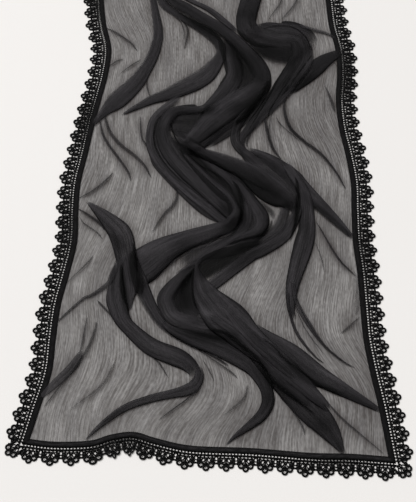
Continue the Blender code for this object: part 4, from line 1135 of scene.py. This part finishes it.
def noise(tree, where, across, along, detail):
    """Noise over the cloth, which changes about so many times a metre across it and along it."""
    scaled = tree.nodes.new("ShaderNodeVectorMath")
    scaled.operation = "MULTIPLY"
    tree.links.new(where, scaled.inputs[0])
    scaled.inputs[1].default_value = (across, along, 1.0)
    node = tree.nodes.new("ShaderNodeTexNoise")
    tree.links.new(scaled.outputs[0], node.inputs["Vector"])
    node.inputs["Scale"].default_value = 1.0
    node.inputs["Detail"].default_value = detail
    return node.outputs["Fac"]


def split_map(tree, where):
    node = tree.nodes.new("ShaderNodeSeparateXYZ")
    tree.links.new(where, node.inputs[0])
    return node.outputs["X"], node.outputs["Y"]


# The crinkle's noises: how often a metre each changes across and along the cloth, and its detail
THREADS, BEADS = (430.0, 16.0, 0.0), (430.0, 110.0, 0.0)
# The pleats noise paints random streaks of highlight and shade along the folds
CLOUDS, PLEAT_HIGHLIGHTS = (22.0, 9.0, 2.0), (75.0, 5.0, 3.0)
RIB_WANDER = (60.0, 14.0, 1.0)
RIBS_TO_A_METRE = 195.0
RIBS_ASIDE = 2.4                # how many ribs' width they wander sideways
# What the threads, beads and ribs each add to the streaks
THREAD_SHARE, BEAD_SHARE, RIB_SHARE = 0.62, 0.38, 0.09


def crinkle_group():
    """The crinkle: streaks of fine threads, beads and ribs, soft clouds, and random streaks of painted
    highlight and shade along small pleats.
    """
    tree, start, end = group("crinkle", [("Cloth Map", "NodeSocketVector", None)],
                             ["Streaks", "Clouds", "Pleat_Highlights"])
    where = start.outputs["Cloth Map"]
    across, _ = split_map(tree, where)
    wander = times(tree, noise(tree, where, *RIB_WANDER), RIBS_ASIDE)
    turns = plus(tree, times(tree, across, RIBS_TO_A_METRE), wander)
    ribs = maths(tree, "SINE", times(tree, turns, math.tau))
    streaks = plus(tree, times(tree, noise(tree, where, *THREADS), THREAD_SHARE),
                   times(tree, noise(tree, where, *BEADS), BEAD_SHARE), times(tree, ribs, RIB_SHARE))
    tree.links.new(streaks, end.inputs["Streaks"])
    tree.links.new(noise(tree, where, *CLOUDS), end.inputs["Clouds"])
    tree.links.new(noise(tree, where, *PLEAT_HIGHLIGHTS), end.inputs["Pleat_Highlights"])
    return tree


def weave_group():
    """A plain weave: how high its threads stand."""
    tree, start, end = group("plain_weave", [("Cloth Map", "NodeSocketVector", None),
                                             ("Threads", "NodeSocketFloat", 1000.0)], ["Height"])
    waves = [maths(tree, "SINE", times(tree, way, start.outputs["Threads"], math.tau))
             for way in split_map(tree, start.outputs["Cloth Map"])]
    tree.links.new(times(tree, *waves), end.inputs["Height"])
    return tree


def plain_material(name, colour, roughness, gloss):
    mat = bpy.data.materials.new(name)
    mat.use_nodes = True
    shader = mat.node_tree.nodes["Principled BSDF"]
    shader.inputs["Base Color"].default_value = (*colour, 1.0)
    shader.inputs["Roughness"].default_value = roughness
    shader.inputs["Specular IOR Level"].default_value = gloss
    return mat, mat.node_tree, shader


def cloth_map(tree):
    node = tree.nodes.new("ShaderNodeUVMap")
    node.uv_map = "cloth"
    return node.outputs["UV"]


def mark(tree, name):
    node = tree.nodes.new("ShaderNodeAttribute")
    node.attribute_name = name
    return node.outputs["Fac"]


def use_group(tree, made, **inputs):
    node = tree.nodes.new("ShaderNodeGroup")
    node.node_tree = made
    for label, value in inputs.items():
        wire(tree, value, node.inputs[label.replace("_", " ")])
    return node.outputs


def bumped(tree, shader, height, distance, strength):
    node = tree.nodes.new("ShaderNodeBump")
    node.inputs["Distance"].default_value = distance
    node.inputs["Strength"].default_value = strength
    tree.links.new(height, node.inputs["Height"])
    tree.links.new(node.outputs["Normal"], shader.inputs["Normal"])


BLACK_CLOTH = (0.012, 0.012, 0.013)
SHEER = 0.56                    # the light that one layer of chiffon lets straight through
SHEER_LESS, SHEER_MORE = 0.125, 0.10     # less in its closest streaks, and more in its most open ones
CLOUD_RANGE = (0.88, 1.07)      # the clouds take it from this share of itself to this one
GATHER_AND_SHADE_CUT = 0.55                 # how much less of it where the cloth is gathered and where shade is painted
EDGE_ON = 0.10                  # the cosine from which cloth seen more edge on gets no closer
# The ranges that the noises keep to, and how light the chiffon is in its streaks and in the painted
# highlights along its pleats
STREAK_SPAN, CLOUD_SPAN, PLEAT_HIGHLIGHT_SPAN = (0.32, 0.68), (0.3, 0.7), (0.34, 0.66)
STREAK_TONE, PLEAT_HIGHLIGHT_TONE = (0.40, 0.98), (0.38, 0.86)
LIGHT_POWER = 1.5               # makes the hollows of the folds deeper
CHIFFON_LIT = (0.073, 0.068, 0.074, 1.0)
CHIFFON_WARM = (0.018, 0.010, 0.006, 1.0)   # the thread's colour with the light behind it
CHIFFON_UNLIT = (0.0, 0.0, 0.0, 1.0)


def chiffon_material(crinkle):
    """Sheer chiffon: its threads cover more where they are gathered, where shade is painted, and where they
    are seen edge on.
    """
    mat, tree, shader = plain_material("chiffon", BLACK_CLOTH, roughness=0.75, gloss=0.08)
    crinkled = use_group(tree, crinkle, Cloth_Map=cloth_map(tree))
    angle = tree.nodes.new("ShaderNodeLayerWeight")
    angle.inputs["Blend"].default_value = 0.5
    square_on = maths(tree, "MAXIMUM", maths(tree, "SUBTRACT", 1.0, angle.outputs["Facing"]), EDGE_ON)
    streaky = spread(tree, crinkled["Streaks"], *STREAK_SPAN, SHEER - SHEER_LESS, SHEER + SHEER_MORE)
    cloudy = spread(tree, crinkled["Clouds"], *CLOUD_SPAN, *CLOUD_RANGE)
    # the gather mark carries painted shade as well as gathered cloth
    gathered_and_shaded = spread(tree, mark(tree, "gather"), 0.0, 1.0, 1.0, 1.0 - GATHER_AND_SHADE_CUT)
    through = maths(tree, "POWER", times(tree, streaky, cloudy, gathered_and_shaded),
                    maths(tree, "DIVIDE", 1.0, square_on))
    cover = times(tree, maths(tree, "SUBTRACT", 1.0, through), mark(tree, "body"))
    tree.links.new(cover, shader.inputs["Alpha"])
    # Painted light and shade: a fold's colour goes from black to lit by its light mark, with painted
    # highlights along its pleats
    lit = times(tree, spread(tree, crinkled["Streaks"], *STREAK_SPAN, *STREAK_TONE),
                spread(tree, crinkled["Pleat_Highlights"], *PLEAT_HIGHLIGHT_SPAN, *PLEAT_HIGHLIGHT_TONE),
                maths(tree, "POWER", mark(tree, "light"), LIGHT_POWER))
    unlit = blend(tree, mark(tree, "single"), CHIFFON_UNLIT, CHIFFON_WARM)
    tree.links.new(blend(tree, lit, unlit, CHIFFON_LIT), shader.inputs["Base Color"])
    bumped(tree, shader, crinkled["Streaks"], distance=0.4 * MM, strength=0.5)
    return mat


BAND_THREADS = 900.0            # to a metre
BAND_SPECKLE, BAND_UNEVEN = (700.0, 700.0, 2.0), (350.0, 60.0, 2.0)
BAND_SPAN, SPECKLE_TONE, UNEVEN_TONE = (0.35, 0.65), (0.3, 1.0), (0.2, 1.0)
BAND_DARK, BAND_LIT = (0.001, 0.001, 0.001, 1.0), (0.036, 0.034, 0.036, 1.0)


def band_material(weave):
    """Close matte cloth, a little uneven, painted lighter along the band's crown as a highlight."""
    mat, tree, shader = plain_material("band_cloth", BLACK_CLOTH, roughness=0.85, gloss=0.1)
    where = cloth_map(tree)
    speckle = spread(tree, noise(tree, where, *BAND_SPECKLE), *BAND_SPAN, *SPECKLE_TONE)
    uneven = spread(tree, noise(tree, where, *BAND_UNEVEN), *BAND_SPAN, *UNEVEN_TONE)
    # Painted highlight: the crown mark lightens the band's colour along its middle
    tone = times(tree, speckle, uneven, mark(tree, "crown"))
    tree.links.new(blend(tree, tone, BAND_DARK, BAND_LIT), shader.inputs["Base Color"])
    woven = use_group(tree, weave, Cloth_Map=where, Threads=BAND_THREADS)
    bumped(tree, shader, woven["Height"], distance=0.15 * MM, strength=0.6)
    return mat


THREAD_RIBS, THREAD_UNEVEN = (1600.0, 300.0, 1.0), (300.0, 300.0, 2.0)
THREAD_SPAN, THREAD_ROUGHNESS = (0.3, 0.7), (0.40, 0.72)
LACE_COLOUR, STITCH_COLOUR = (0.0018, 0.0018, 0.0018), (0.010, 0.010, 0.011)


def thread_material(name, colour):
    """Twisted thread: faint ribs across its length, and uneven gloss."""
    mat, tree, shader = plain_material(name, colour, roughness=0.5, gloss=0.08)
    where = cloth_map(tree)
    uneven = spread(tree, noise(tree, where, *THREAD_UNEVEN), *THREAD_SPAN, *THREAD_ROUGHNESS)
    tree.links.new(uneven, shader.inputs["Roughness"])
    bumped(tree, shader, noise(tree, where, *THREAD_RIBS), distance=0.25 * MM, strength=0.6)
    return mat


# ---------------------------------------------------------------- studio
FLOOR_HALF, FLOOR_LEVEL = 30.0, -0.3 * MM
FLOOR_COLOUR = (0.86, 0.84, 0.82)
SUN_POWER, SUN_WIDTH, SUN_TURN = 2.84, math.radians(45), (-30, -28, 0)
SOFTBOX_POWER, SOFTBOX_SIZE = 2.6, 1.2
SOFTBOX_PLACE, SOFTBOX_TURN = (-1.3, 0.1, 1.3), (0, -42, 0)
ROOM_COLOUR, ROOM_POWER = (1.0, 0.99, 0.98, 1.0), 0.30
LENS, SENSOR = 86.06, 36.0
CAMERA_PLACE, CAMERA_TURN = (0.0, -1.866, 2.10), (32, 0, 0)


def make_floor():
    mesh = bpy.data.meshes.new("floor")
    corners = [(-1, -1), (1, -1), (1, 1), (-1, 1)]
    mesh.from_pydata([(x * FLOOR_HALF, y * FLOOR_HALF, FLOOR_LEVEL) for x, y in corners], [], [range(4)])
    mesh.materials.append(plain_material("floor", FLOOR_COLOUR, roughness=0.9, gloss=0.1)[0])
    floor = place_in_scene("floor", mesh)


def make_lights():
    sun = bpy.data.lights.new("broad_light", "SUN")
    sun.energy = SUN_POWER
    sun.angle = SUN_WIDTH
    place_in_scene("broad_light", sun, degrees=SUN_TURN)
    softbox = bpy.data.lights.new("left_softbox", "AREA")
    softbox.energy = SOFTBOX_POWER
    softbox.size = SOFTBOX_SIZE
    place_in_scene("left_softbox", softbox, SOFTBOX_PLACE, SOFTBOX_TURN)
    room = bpy.data.worlds.new("room")
    room.use_nodes = True
    background = room.node_tree.nodes["Background"]
    background.inputs["Color"].default_value = ROOM_COLOUR
    background.inputs["Strength"].default_value = ROOM_POWER
    bpy.context.scene.world = room


def make_camera():
    data = bpy.data.cameras.new("camera")
    data.lens = LENS
    data.sensor_width = SENSOR
    bpy.context.scene.camera = place_in_scene("camera", data, CAMERA_PLACE, CAMERA_TURN)


def main():
    edges = seam_edges()
    crinkle, weave = crinkle_group(), weave_group()
    chiffon = make_chiffon(edges, chiffon_material(crinkle))
    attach(chiffon, "root")
    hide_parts("chiffon_panel")
    band_cloth = band_material(weave)
    lace_thread = thread_material("lace_thread", LACE_COLOUR)
    stitch_thread = thread_material("stitch_thread", STITCH_COLOUR)
    trims = []
    for side in edges:
        band = make_band(side, edges, band_cloth)
        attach(band, "root")
        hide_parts("band_" + side)
        stitches = make_stitches(side, edges, stitch_thread)
        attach(stitches, "root")
        lace = make_lace(side, edges, lace_thread)
        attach(lace, "root")
        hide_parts("lace_" + side)
        trims += [band, stitches, lace]
    make_floor()
    make_lights()
    make_camera()
    bpy.context.scene.view_settings.view_transform = "Standard"


main()
